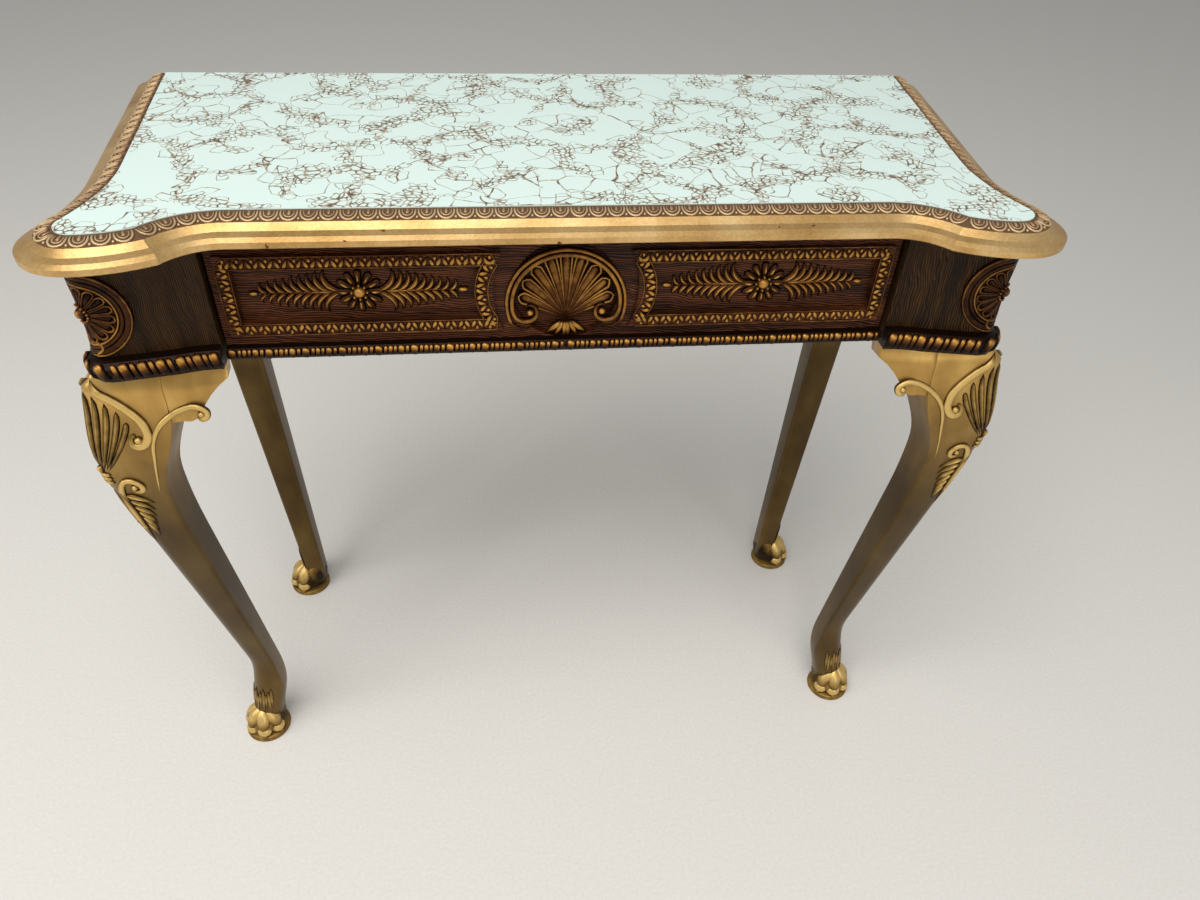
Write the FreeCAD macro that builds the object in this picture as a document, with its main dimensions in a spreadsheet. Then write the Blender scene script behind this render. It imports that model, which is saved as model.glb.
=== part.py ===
import FreeCAD, Part
import math
import os
import re
from types import SimpleNamespace

import Sketcher

# A pier table: a lobed top of veined mirror glass in a carved and gilt edge,
# a frieze drawer between two corner blocks, cabriole front legs with knee
# wings and lion's-paw feet, and plain tapered legs at the back.
#
# Frame: +Z up from the floor, +X to the right of someone facing the front,
# -Y towards them. The origin is on the floor under the middle of the top.

Vec = FreeCAD.Vector
UP = Vec(0, 0, 1)

# Driving dimensions in millimetres and degrees, one row for each.
SIZES = [
    # The top, in plan
    ("table_height", 760, "floor to the top of the glass"),
    ("top_depth", 380, "back edge to the front of the lobes"),
    ("lobe_half_width", 416, "middle to the side of a lobe"),
    ("back_flare", 1, "lobe's side out to the back corner"),
    ("lobe_radius", 46, "round end of a lobe"),
    ("flare_angle", 25, "where the lobe turns into the waist"),
    ("waist_radius", 165, "hollow behind the lobe"),
    ("cusp_inset", 108, "lobe's side to the crease in the front edge"),
    ("cusp_setback", 16, "lobe front to the crease"),
    ("cove_rise", 22, "crease to the straight front"),
    ("cove_length", 42, "crease to the straight front, sideways"),
    # The top, in section
    ("glass_thickness", 5, "mirror glass"),
    ("top_thickness", 21, "glass top to the underside of the board"),
    ("moulding_width", 30, "nose to the edge of the glass"),
    ("strip_width", 14, "carved leaf strip"),
    ("strip_seat", 9, "glass top down to the strip's seat"),
    ("strip_drop", 0.8, "glass top down to the strip's inner edge"),
    ("crest_drop", 4.5, "glass top down to the gilt crest"),
    ("nose_drop", 11, "glass top down to the start of the nose"),
    ("nose_setback", 4, "nose to the start of the cove"),
    ("cove_hollow", 1.2, "depth of the cove in the gilt face"),
    ("fit_gap", 0.1, "clearance between glued or laid-in pieces"),
    # Aprons and corner blocks
    ("apron_height", 127, "apron and block height"),
    ("apron_thickness", 18, "side and back aprons"),
    ("side_inset", 18, "nose line to the side apron's face"),
    ("block_span", 116, "lobe's side to the drawer opening"),
    ("block_setback", 72, "lobe front to the block's inner edge"),
    ("block_depth", 68, "inner edge of the block to its back"),
    ("seam_inset", 79, "lobe's side to the crease in the block"),
    ("seam_rise", 6, "crease forward of the block's inner edge"),
    ("corner_inset", 16, "lobe's side to the side of the block's corner"),
    ("corner_setback", 57, "lobe front to the front of the block's corner"),
    ("corner_radius", 12, "corner of the block"),
    ("gadroon_height", 21, "carved moulding under the block"),
    ("gadroon_reach", 11, "how far that moulding stands out"),
    ("patera_radius", 40, "round ornament on the block's corner"),
    ("patera_rise", 62, "apron foot to the middle of that ornament"),
    ("patera_ground", 3, "thickness of its dished ground"),
    ("patera_rim", 6, "height of its rim"),
    ("patera_hub", 9, "radius of its hub"),
    # Front legs, sawn to one profile from two faces
    ("knee_overhang", 18, "lobe's side out to the outside of the knee"),
    ("knee_setback", 50, "lobe front to the front of the knee"),
    ("shoulder_drop", 19, "apron foot down to the shoulder of the knee"),
    ("shoulder_inset", 8, "knee face back to that shoulder"),
    ("knee_drop", 90, "apron foot down to the fullest part of the knee"),
    ("knee_bend", 40, "length of the bend from the knee into the straight shin"),
    ("calf_bend", 80, "length of the bend from the back of the knee into the calf"),
    ("calf_drop", 137, "apron foot down to the narrowest back of the knee"),
    ("ankle_height", 135, "floor to the ankle, in front"),
    ("heel_height", 85, "floor to the ankle, behind"),
    ("post_inset", 21, "knee face back to the top of the post"),
    ("post_width", 58, "top of the leg"),
    ("calf_depth", 54.5, "knee face to the back of the calf"),
    ("ankle_inset", 49.5, "knee face back to the ankle"),
    ("ankle_width", 33, "ankle"),
    ("ankle_sweep", 4, "how much further back the ankle is, seen from the side"),
    ("foot_lead", 12, "paw's middle forward to the leg's face"),
    ("foot_width", 36, "leg where it enters the foot"),
    ("corner_bevel", 8, "bevel along the leg's outer corner"),
    ("wing_length", 55, "knee post to the end of the wing"),
    ("wing_tip", 11, "depth of the wing at its end"),
    ("wing_depth", 42, "wing, front to back"),
    ("volute_drop", 43, "apron down to the middle of the wing's scroll"),
    ("volute_setback", 36, "wing's end to the middle of its scroll"),
    ("volute_radius", 7, "scroll at the foot of the wing"),
    ("wing_foot", 86, "apron down to where the wing dies into the leg"),
    ("dowel_radius", 5, "dowel in the top of the leg"),
    ("dowel_length", 50, "dowel"),
    ("dowel_spacing", 18, "between the dowels of a leg"),
    ("dowel_inset", 62, "knee face to the dowels"),
    # Paws
    ("paw_inset", 47, "knee's side face to the middle of the paw"),
    ("paw_setback", 58, "knee's front face to the middle of the paw"),
    ("paw_radius", 23, "ball of the paw"),
    ("paw_height", 26, "floor to the middle of the ball"),
    ("pad_radius", 28, "round base under a paw"),
    ("pad_height", 6, "round base under a paw"),
    ("toe_count", 5, "toes on a paw"),
    ("toe_spread", 36, "degrees from toe to toe"),
    ("toe_radius", 8, "toe"),
    ("toe_reach", 21.5, "middle of the paw to a toe's tip"),
    ("knuckle_reach", 11, "middle of the paw to a knuckle"),
    ("knuckle_height", 38, "floor to a knuckle"),
    # Back legs
    ("back_post_inset", 17, "lobe's side to the outside of the back post"),
    ("back_post_width", 44, "back post, side to side"),
    ("back_post_depth", 44, "back post, front to back"),
    ("back_clearance", 2, "back of the top to the back of the post"),
    ("back_foot_inset", 52, "lobe's side to the middle of a back paw"),
    ("back_foot_setback", 24, "back of the top to the middle of a back paw"),
    ("back_ankle", 26, "back leg where it enters the paw"),
    ("back_lean", 14, "leg's axis inside the paw's middle"),
    # Drawer and carcase
    ("drawer_recess", 8, "drawer face behind the block's inner edge"),
    ("drawer_gap", 2.5, "drawer front to the block"),
    ("drawer_lift", 3, "apron bottom to drawer bottom, and drawer top to the top"),
    ("drawer_front_thickness", 20, "drawer front"),
    ("drawer_side_thickness", 12, "drawer side and back"),
    ("stop_depth", 17.7, "drawer stop, front to back"),
    ("drawer_bottom_thickness", 5, "drawer bottom"),
    ("bottom_groove", 5, "depth of the groove for the bottom"),
    ("bottom_rise", 8, "drawer side's edge to the groove"),
    ("side_clearance", 3, "drawer side to the block"),
    ("run_gap", 0.3, "running clearance under and behind the drawer"),
    ("rail_height", 14, "front rail and runners"),
    ("rail_gap", 4, "drawer front to the front rail"),
    ("runner_width", 50, "runner"),
    ("guide_gap", 1, "drawer side to its guide"),
    ("guide_width", 20, "guide"),
    ("guide_height", 24, "guide"),
    ("kicker_width", 24, "kicker over the drawer side"),
    ("kicker_height", 21.7, "kicker"),
    ("kicker_gap", 3, "drawer side to the kicker"),
    ("stop_width", 26, "drawer stop"),
    ("stop_height", 20, "drawer stop"),
    ("screw_radius", 2, "screw shank"),
    ("screw_length", 30, "screw"),
    ("screw_head", 4, "radius of the screw head"),
    ("screw_head_height", 3, "screw head"),
    ("screw_count", 2, "screws in a kicker"),
    ("screw_spacing", 160, "between screws"),
    # Carving on the drawer front
    ("panel_margin", 9, "drawer opening to the outer end of a panel frame"),
    ("panel_inner", 56, "middle to the corner of its hollow end"),
    ("panel_rise", 25.5, "apron foot to the bottom of a panel frame"),
    ("panel_height", 76.5, "panel frame"),
    ("panel_hollow", 8, "depth of the hollow end"),
    ("frame_width", 12, "panel frame"),
    ("frame_relief", 4, "panel frame stands out by this"),
    ("ground_depth", 4, "sunk ground inside a frame"),
    ("rosette_hub", 6, "ball in the rosette"),
    ("petal_count", 12, "petals of a rosette"),
    ("petal_length", 15, "petal"),
    ("petal_width", 6, "petal"),
    ("spray_margin", 11.5, "tip of a spray to the panel frame"),
    ("spray_pairs", 5, "pairs of leaflets on a spray"),
    ("leaflet_length", 19, "largest leaflet"),
    ("leaflet_width", 8, "largest leaflet"),
    ("leaflet_angle", 38, "leaflet to stem"),
    ("spray_relief", 6, "rosette and sprays stand out by this"),
    ("hub_relief", 9, "the rosette's ball stands out by this"),
    ("medallion_rise", 50, "apron foot to the middle of the medallion"),
    ("medallion_radius", 54, "outside of the ring"),
    ("recess_rise", 62, "apron foot to the middle of the shell's recess"),
    ("recess_radius", 48, "recess behind the shell"),
    ("recess_depth", 8, "recess behind the shell"),
    ("ring_width", 8, "ring round the shell"),
    ("ring_relief", 5, "ring stands out by this"),
    ("ring_gap_angle", 130, "open foot of the ring"),
    ("ring_volute", 8, "scroll at each end of the ring"),
    ("volute_relief", 6.5, "those scrolls stand out by this"),
    ("shell_drop", 19, "medallion's middle down to the shell's hub"),
    ("shell_rise", 56, "hub to the middle of the top rib's end"),
    ("shell_half_width", 36, "hub to the middle of a side rib's end"),
    ("rib_count", 9, "ribs of the shell"),
    ("rib_fan", 150, "degrees from first rib to last"),
    ("rib_half", 6, "half of a rib's width at its end"),
    ("rib_root", 2, "rib at the hub"),
    ("rib_relief", 6, "shell stands out by this"),
    ("shell_hub", 6, "hub of the shell"),
    ("calyx_count", 5, "petals under the hub"),
    ("calyx_fan", 100, "degrees from first petal to last"),
    ("calyx_length", 12, "petal under the hub"),
    ("drawer_gadroon_height", 12, "carved moulding on the drawer"),
]

# Sizes that follow from those, so that pieces keep together when one changes.
CARCASE_FRONT = "block_setback + drawer_recess + drawer_front_thickness"
CARCASE_BACK = "back_clearance + apron_thickness + stop_depth + run_gap"
OVER_AND_UNDER = "rail_height + run_gap + kicker_gap + kicker_height"
FOLLOWING = [
    ("apron_foot", "table_height - top_thickness - apron_height", "floor to the foot of the aprons"),
    ("back_half_width", "lobe_half_width + back_flare", "middle to the back corner"),
    ("cusp_half_width", "lobe_half_width - cusp_inset", "middle to the crease in the front edge"),
    ("opening_half", "lobe_half_width - block_span", "half of the drawer opening"),
    ("seam_half_width", "lobe_half_width - seam_inset", "middle to the crease in the block"),
    ("corner_half_width", "lobe_half_width - corner_inset", "middle to the side of the block's corner"),
    ("knee_half_width", "lobe_half_width + knee_overhang", "middle to the outside of the knee"),
    ("back_post_half", "lobe_half_width - back_post_inset", "middle to the outside of the back post"),
    ("back_foot_half", "lobe_half_width - back_foot_inset", "middle to the middle of a back paw"),
    ("knee_height", "apron_foot - knee_drop", "floor to the fullest part of the knee"),
    ("calf_height", "apron_foot - calf_drop", "floor to the narrowest back of the knee"),
    ("patera_height", "apron_foot + patera_rise", "floor to the middle of the block's ornament"),
    ("drawer_length", "top_depth - (%s + %s)" % (CARCASE_FRONT, CARCASE_BACK), "drawer side, front to back"),
    ("drawer_side_height", "apron_height - (%s)" % OVER_AND_UNDER, "drawer side"),
    ("panel_outer", "opening_half - panel_margin", "middle to the outer end of a panel frame"),
    ("panel_bottom", "apron_foot + panel_rise", "floor to the bottom of a panel frame"),
    ("panel_length", "panel_outer - panel_inner - panel_hollow", "panel frame at mid height"),
    ("rosette_half", "panel_outer - panel_length / 2", "middle to the middle of a rosette"),
    ("spray_half", "panel_length / 2 - frame_width - spray_margin", "rosette's middle to a spray's tip"),
    ("medallion_height", "apron_foot + medallion_rise", "floor to the middle of the medallion"),
    ("recess_height", "apron_foot + recess_rise", "floor to the middle of the shell's recess"),
]

doc = FreeCAD.newDocument("pier_table")
sheet = doc.addObject("Spreadsheet::Sheet", "sizes")
rows = SIZES + [(alias, "=" + formula, note) for alias, formula, note in FOLLOWING]
for row, (alias, amount, note) in enumerate(rows, 1):
    sheet.set("A%d" % row, note)
    sheet.set("B%d" % row, str(amount))
    sheet.setAlias("B%d" % row, alias)
doc.recompute()

d = SimpleNamespace(**{alias: float(sheet.get(alias)) for alias, _, _ in rows})
pieces = []


# Helpers that bind a document object to the sheet.
def cells(text):
    """Turn size names in an expression into references to the sheet."""
    names = {alias for alias, _, _ in rows}
    return re.sub(r"[a-z_]+", lambda m: "sizes." + m[0] if m[0] in names else m[0], text)


def bind(thing, **properties):
    for name, text in properties.items():
        thing.setExpression(name.replace("__", "."), cells(text))


def keep(thing, label):
    thing.Label = label
    pieces.append(thing)
    return thing


def block(name, x, y, z):
    """A rectangular block; x, y and z are each a start and an end, as expressions."""
    box = doc.addObject("Part::Box", name)
    for side, axis, (start, end) in zip(("Length", "Width", "Height"), "xyz", (x, y, z)):
        bind(box, **{side: "(%s) - (%s)" % (end, start), "Placement__Base__" + axis: start})
    return box


def rod(name, radius, length, x, y, z):
    """An upright cylinder standing on the point x, y, z."""
    cylinder = doc.addObject("Part::Cylinder", name)
    bind(cylinder, Radius=radius, Height=length)
    bind(cylinder, Placement__Base__x=x, Placement__Base__y=y, Placement__Base__z=z)
    return cylinder


def cut(name, base, tool):
    result = doc.addObject("Part::Cut", name)
    result.Base = base
    result.Tool = tool
    return result


def fuse(name, shapes):
    result = doc.addObject("Part::MultiFuse", name)
    result.Shapes = shapes
    return result


def group(name, shapes):
    """Separate solids that share one node."""
    result = doc.addObject("Part::Compound", name)
    result.Links = shapes
    return result


def feature(name, shape):
    """A piece whose form needs Part's own functions."""
    thing = doc.addObject("Part::Feature", name)
    thing.Shape = shape
    return thing


def mirrored(name, source):
    """The left-hand twin of a right-hand piece."""
    twin = doc.addObject("Part::Mirroring", name)
    twin.Source = source
    twin.Normal = Vec(1, 0, 0)
    return twin


def pair(name, right):
    """Keep a right-hand piece and its left-hand twin."""
    keep(right, name + "_right")
    keep(mirrored(name + "_left", right), name + "_left")


# Helpers for shapes drawn in plan.
def polar(centre, radius, degrees):
    angle = math.radians(degrees)
    return (centre[0] + radius * math.cos(angle), centre[1] + radius * math.sin(angle))


def bearing(centre, point):
    return math.degrees(math.atan2(point[1] - centre[1], point[0] - centre[0]))


def touch_angle(centre, radius, point, turn):
    """Angle on a circle where a line from an outside point touches it."""
    reach = math.dist(centre, point)
    angle = bearing(centre, point) + turn * math.degrees(math.acos(radius / reach))
    return (angle + 180) % 360 - 180


def section_face(section, place):
    """A face from runs of two points (a line) or three (an arc)."""
    edges = []
    for points in section:
        spots = [place(*point) for point in points]
        curve = Part.LineSegment(*spots) if len(spots) == 2 else Part.Arc(*spots)
        edges.append(curve.toShape())
    return Part.Face(Part.Wire(Part.__sortEdges__(edges)))


def straight(section, start, end):
    """A section carried along a line, its outward side on the left of the way."""
    along = Vec(end[0] - start[0], end[1] - start[1], 0)
    side = Vec(-along.y, along.x, 0).normalize()
    face = section_face(section, lambda o, z: Vec(start[0], start[1], z) + side * o)
    return face.extrude(along)


def turned(section, centre, radius, start, end):
    """A section carried round an arc; one that turns right bulges outwards."""
    sign = 1 if end < start else -1
    face = section_face(section, lambda o, z: Vec(*polar(centre, radius + sign * o, start), z))
    return face.revolve(Vec(*centre, 0), UP, end - start)


def run(section, path):
    """A moulding: one section carried along lines and arcs that follow on."""
    legs = [straight(section, *leg) if len(leg) == 2 else turned(section, *leg) for leg in path]
    whole = legs[0].multiFuse(legs[1:]) if len(legs) > 1 else legs[0]
    return whole.removeSplitter().Solids[0]


def left_of(start, end, reach, height):
    """A large block on the left of the line from start to end."""
    along = Vec(end[0] - start[0], end[1] - start[1], 0).normalize()
    side = Vec(-along.y, along.x, 0)
    first = Vec(*start, 0) - along * reach
    corners = [first, first + along * 2 * reach]
    corners += [corners[1] + side * reach, corners[0] + side * reach]
    return Part.Face(Part.makePolygon(corners + corners[:1])).extrude(UP * height)


def flats(corners):
    """A closed section with straight sides."""
    return list(zip(corners, corners[1:] + corners[:1]))


# The lobed plan of the top: arcs of the right half of its nose line.
FRONT = -d.top_depth / 2
BACK = d.top_depth / 2
STRAIGHT = FRONT + d.cusp_setback + d.cove_rise
TOP_UNDER = d.table_height - d.top_thickness
APRON_FOOT = TOP_UNDER - d.apron_height

lobe = (d.lobe_half_width - d.lobe_radius, FRONT + d.lobe_radius)
cusp = (d.cusp_half_width, FRONT + d.cusp_setback)
brow_run = lobe[0] - cusp[0]
brow_radius = (brow_run ** 2 + d.cusp_setback ** 2) / (2 * d.cusp_setback)
brow = (lobe[0], FRONT + brow_radius)
cove_radius = (d.cove_length ** 2 + d.cove_rise ** 2) / (2 * d.cove_rise)
cove = (cusp[0] - d.cove_length, STRAIGHT - cove_radius)
waist = polar(lobe, d.lobe_radius + d.waist_radius, d.flare_angle)
back_corner = (d.back_half_width, BACK)
side_angle = touch_angle(waist, d.waist_radius, back_corner, 1)


def cusp_at(inset):
    """Where the offset brow and cove meet: a mitre line runs through these points."""
    near, far = brow_radius - inset, cove_radius + inset
    span = math.dist(brow, cove)
    along = (span ** 2 + near ** 2 - far ** 2) / (2 * span)
    across = math.sqrt(near ** 2 - along ** 2)
    foot = polar(brow, along, bearing(brow, cove))
    return polar(foot, across, bearing(brow, cove) + 90)


def side_at(inset, y):
    """The straight part of the side, moved in by an inset, at a given y."""
    touch = polar(waist, d.waist_radius + inset, side_angle)
    slope = math.tan(math.radians(side_angle + 90))
    return (touch[0] + (y - touch[1]) / slope, y)


def side_path(inset, overrun):
    """Back corner to the cusp, carried past both by some millimetres and degrees."""
    touch = polar(waist, d.waist_radius + inset, side_angle)
    return [
        (side_at(inset, BACK + overrun), touch),
        (waist, d.waist_radius + inset, side_angle, d.flare_angle + 180),
        (lobe, d.lobe_radius - inset, d.flare_angle, -90),
        (brow, brow_radius - inset, -90, bearing(brow, cusp_at(inset)) - overrun),
    ]


def front_path(inset, overrun):
    """Cusp to the middle of the front."""
    y = STRAIGHT + inset
    return [
        (cove, cove_radius + inset, bearing(cove, cusp_at(inset)) - overrun, 90),
        ((cove[0], y), (0, y)),
    ]


def path_edges(path, z):
    edges = []
    for leg in path:
        if len(leg) == 2:
            curve = Part.LineSegment(*[Vec(*point, z) for point in leg])
        else:
            centre, radius, start, end = leg
            angles = (start, (start + end) / 2, end)
            curve = Part.Arc(*[Vec(*polar(centre, radius, angle), z) for angle in angles])
        edges.append(curve.toShape())
    return edges


def top_slab(inset, bottom, top):
    """A slab with the plan of the top, moved in from the nose on its three edges."""
    path = side_path(inset, 0) + front_path(inset, 0)
    edges = path_edges(path, bottom)
    edges += [edge.mirror(Vec(), Vec(1, 0, 0)) for edge in edges]
    ends = [Vec(side * side_at(inset, BACK)[0], BACK, bottom) for side in (1, -1)]
    edges.append(Part.LineSegment(*ends).toShape())
    return Part.Face(Part.Wire(Part.__sortEdges__(edges))).extrude(UP * (top - bottom))


def edge_runs(section):
    """Front and right-hand lengths of an edge moulding, mitred at the cusps."""
    overrun = 8
    outside, inside = cusp, cusp_at(d.moulding_width)
    reach = 2 * d.moulding_width
    front = run(section, front_path(0, overrun)).cut(left_of(inside, outside, reach, d.table_height))
    front = front.fuse(front.mirror(Vec(), Vec(1, 0, 0))).removeSplitter()
    beyond_back = left_of(back_corner, (back_corner[0] + 1, BACK), reach, d.table_height)
    beyond_cusp = left_of(outside, inside, reach, d.table_height)
    right = run(section, side_path(0, overrun)).cut([beyond_cusp, beyond_back])
    return front.Solids[0], right.Solids[0]


# The top: glass, board, gilt moulding and carved leaf strip.
def moulding_section():
    """Underside, bevelled nose, hollow gilt face, rebate for the strip."""
    top = d.table_height
    inner = -d.moulding_width
    seat = -(d.moulding_width - d.strip_width)
    crest = (seat, top - d.crest_drop)
    nose = (-d.nose_setback, top - d.nose_drop)
    chin = (-d.nose_setback, TOP_UNDER)
    flat = (nose[1] - chin[1]) / 4
    hollow = ((crest[0] + nose[0]) / 2, (crest[1] + nose[1]) / 2 - d.cove_hollow)
    rebate = (seat, top - d.strip_seat)
    back = (inner, top - d.strip_seat)
    heel = (inner, TOP_UNDER)
    return flats([heel, chin, (0, chin[1] + flat), (0, nose[1] - flat), nose, hollow, crest, rebate, back])


def strip_section():
    """The leaf strip, falling from the glass to the gilding."""
    top = d.table_height
    inner = -d.moulding_width
    outer = inner + d.strip_width - d.fit_gap
    seat = top - d.strip_seat
    heel, toe = (inner, seat), (outer, seat)
    lip = (outer, top - d.crest_drop)
    edge = (inner, top - d.strip_drop)
    crown = ((lip[0] + edge[0]) / 2, (lip[1] + edge[1]) / 2 + d.cove_hollow)
    return flats([heel, toe, lip, crown, edge])


glass_edge = d.moulding_width + d.fit_gap
glass_under = d.table_height - d.glass_thickness
keep(feature("glass_top", top_slab(glass_edge, glass_under, d.table_height)), "glass_top")
board = feature("board_blank", top_slab(glass_edge, TOP_UNDER, glass_under))

for name, section in (("moulding", moulding_section()), ("leaf_strip", strip_section())):
    front, right = edge_runs(section)
    keep(feature(name + "_front", front), name + "_front")
    pair(name, feature(name + "_right", right))

# The corner blocks, with the carved moulding and round ornament on them.
block_inner = (d.opening_half, FRONT + d.block_setback)
block_back = block_inner[1] + d.block_depth
seam = (d.seam_half_width, block_inner[1] - d.seam_rise)
seam_run = seam[0] - block_inner[0]
hollow_radius = (seam_run ** 2 + d.seam_rise ** 2) / (2 * d.seam_rise)
hollow = (block_inner[0], block_inner[1] - hollow_radius)
corner = (d.corner_half_width - d.corner_radius, FRONT + d.corner_setback + d.corner_radius)
block_side = side_at(d.side_inset, block_back)
side_touch = touch_angle(corner, d.corner_radius, block_side, -1)
front_touch = touch_angle(corner, d.corner_radius, seam, 1)
hollow_start = bearing(hollow, seam)

round_corner = [
    (block_side, polar(corner, d.corner_radius, side_touch)),
    (corner, d.corner_radius, side_touch, front_touch),
    (polar(corner, d.corner_radius, front_touch), seam),
]
block_hollow = [(hollow, hollow_radius, hollow_start, 90)]
crease = [(seam, 0, front_touch, hollow_start - 180)]


def block_solid():
    edges = path_edges(round_corner + block_hollow, APRON_FOOT)
    inside = [block_inner, (d.opening_half, block_back), block_side]
    edges += path_edges(list(zip(inside, inside[1:])), APRON_FOOT)
    return Part.Face(Part.Wire(Part.__sortEdges__(edges))).extrude(UP * d.apron_height)


def gadroon_section(reach, foot, height):
    """Sloped ledge above a bevelled, undercut nose."""
    ledge = (reach * 0.62, foot + height * 0.9)
    nose = [(reach, foot + height * share) for share in (0.45, 0.7)]
    under = (reach * 0.7, foot)
    return flats([(0, foot), under] + nose + [ledge, (0, foot + height)])


def ellipse_prism(scale, reach):
    """An upright many-sided oval along the block's diagonal, round on each of its faces."""
    tall = d.patera_radius * scale
    wide = tall * math.cos(math.radians(45))
    tip = Vec(*polar(corner, reach, -45), d.patera_height)
    across = Vec(*polar((0, 0), wide, 45), 0)
    sides = 20
    turns = [polar((0, 0), 1, 360 * k / sides) for k in range(sides)]
    oval = [tip + across * x + UP * tall * y for x, y in turns]
    return Part.Face(Part.makePolygon(oval + oval[:1])).extrude(Vec(*polar((0, 0), 2 * reach, 135), 0))


def patera_solid():
    """A dished ground, a raised rim and a hub, all wrapped round the corner."""
    reach = d.patera_radius * 2
    low = d.patera_height - d.patera_radius
    high = d.patera_height + d.patera_radius

    def wrap(relief):
        return run(flats([(0, low), (relief, low), (relief, high), (0, high)]), round_corner)

    ground = wrap(d.patera_ground).common(ellipse_prism(1, reach))
    rim_inside = 1 - d.patera_hub / d.patera_radius
    rim = wrap(d.patera_rim).common(ellipse_prism(1, reach).cut(ellipse_prism(rim_inside, reach)))
    hub = wrap(d.patera_rim).common(ellipse_prism(d.patera_hub / d.patera_radius, reach))
    return ground.multiFuse([rim, hub]).removeSplitter().Solids[0]


# Dowels run up through the top of each front leg into its block.
knee = (d.knee_half_width, FRONT + d.knee_setback)
dowel_spots = [
    (knee[0] - d.dowel_inset + step, knee[1] + d.dowel_inset)
    for step in (-d.dowel_spacing / 2, d.dowel_spacing / 2)
]
dowel_foot = APRON_FOOT - d.dowel_length / 2


def dowel_holes():
    spots = [Vec(*spot, dowel_foot) for spot in dowel_spots]
    radius, length = d.dowel_radius + d.fit_gap, d.dowel_length + d.fit_gap
    return [Part.makeCylinder(radius, length, spot) for spot in spots]


pair("corner_block", feature("corner_block", block_solid().cut(dowel_holes())))
gadroon = gadroon_section(d.gadroon_reach, APRON_FOOT, d.gadroon_height)
beside = (block_side[0] + 1, block_back)
lengthened = polar(block_side, d.gadroon_reach, bearing(round_corner[0][1], block_side))
gadroon_path = [(lengthened, round_corner[0][1])] + round_corner[1:] + crease + block_hollow
behind = left_of(block_side, beside, d.block_depth, d.table_height)
block_gadroon = run(gadroon, gadroon_path).cut(behind)
pair("block_gadroon", feature("block_gadroon", block_gadroon.Solids[0]))
pair("patera", feature("patera", patera_solid()))

# Side aprons lie along the straight part of the sides; the back apron joins the posts.
post_front = BACK - d.back_clearance - d.back_post_depth
apron_inner = d.side_inset + d.apron_thickness
apron_line = (side_at(d.side_inset, post_front), side_at(d.side_inset, block_back))
apron_back = (side_at(apron_inner, block_back), side_at(apron_inner, post_front))
apron_plan = [Vec(*point, APRON_FOOT) for point in apron_line + apron_back]
apron_face = Part.Face(Part.makePolygon(apron_plan + apron_plan[:1]))
pair("side_apron", feature("side_apron", apron_face.extrude(UP * d.apron_height)))
side_run = (apron_line[0], side_at(d.side_inset, block_back - d.gadroon_reach))
in_front = left_of(beside, block_side, d.block_depth, d.table_height)
side_gadroon = run(gadroon, [side_run]).cut(in_front)
pair("side_gadroon", feature("side_gadroon", side_gadroon.Solids[0]))


# Front legs: one S-shaped profile sawn from two faces, bevelled on the outer corner.
def s_curve(start, end):
    """Two equal arcs that leave the start and meet the end upright."""
    across, rise = end[0] - start[0], end[1] - start[1]
    if across == 0:
        return [(start, end)]
    radius = math.hypot(across, rise) ** 2 / (4 * abs(across))
    half_turn = math.atan2(abs(rise) / 2, radius - abs(across) / 2) / 2
    out = math.copysign(radius * (1 - math.cos(half_turn)), across)
    along = math.copysign(radius * math.sin(half_turn), rise)
    middle = ((start[0] + end[0]) / 2, (start[1] + end[1]) / 2)
    first = (start[0] + out, start[1] + along)
    second = (end[0] - out, end[1] - along)
    return [(start, first, middle), (middle, second, end)]


def s_curves(stations):
    """S-curves from each point to the next."""
    return [arc for start, end in zip(stations, stations[1:]) for arc in s_curve(start, end)]


def shin(top, bottom, bend):
    """An arc that leaves the top upright, then a straight run down to the bottom."""
    lean = (bottom[0] - top[0]) / (2 * (top[1] - bottom[1]) - bend)
    middle = (top[0] + lean * bend / 4, top[1] - bend / 2)
    turn = (top[0] + lean * bend, top[1] - bend)
    return [(top, middle, turn), (turn, bottom)]


def leg_front_line(sweep):
    """Neck, shoulder, knee and shin down to the ankle, as distances in and heights."""
    neck = (d.post_inset, APRON_FOOT)
    shoulder = (d.shoulder_inset, APRON_FOOT - d.shoulder_drop)
    fullest = (0, d.knee_height)
    ankle = (d.ankle_inset + sweep, d.ankle_height)
    return s_curves([neck, shoulder, fullest]) + shin(fullest, ankle, d.knee_bend)


def leg_profile(sweep, paw_inset):
    """The front line down to the foot and the back line up."""
    front = leg_front_line(sweep)
    toe = (paw_inset - d.foot_lead, d.paw_height)
    foot = (toe[0] + d.foot_width, d.paw_height)
    heel = (d.ankle_inset + sweep + d.ankle_width, d.heel_height)
    calf = (d.calf_depth, d.calf_height)
    post = (d.post_inset + d.post_width, (d.knee_height + APRON_FOOT) / 2)
    top = (post[0], APRON_FOOT)
    ends = [(toe, foot), (post, top), (top, front[0][0])]
    instep = s_curves([front[-1][-1], toe]) + s_curves([foot, heel])
    return front + instep + shin(calf, heel, d.calf_bend) + s_curves([calf, post]) + ends


stock = d.post_inset + d.post_width + d.wing_length + d.knee_setback


FRONT_SAW = (0, d.paw_inset)
SIDE_SAW = (d.ankle_sweep, d.paw_setback)


def through_front(profile):
    """Sawn from the front: the profile is seen facing the table."""
    return section_face(profile, lambda u, z: Vec(knee[0] - u, knee[1], z)).extrude(Vec(0, stock, 0))


def through_side(profile):
    """Sawn from the side: the profile is seen facing the table's end."""
    return section_face(profile, lambda u, z: Vec(knee[0], knee[1] + u, z)).extrude(Vec(-stock, 0, 0))


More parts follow.
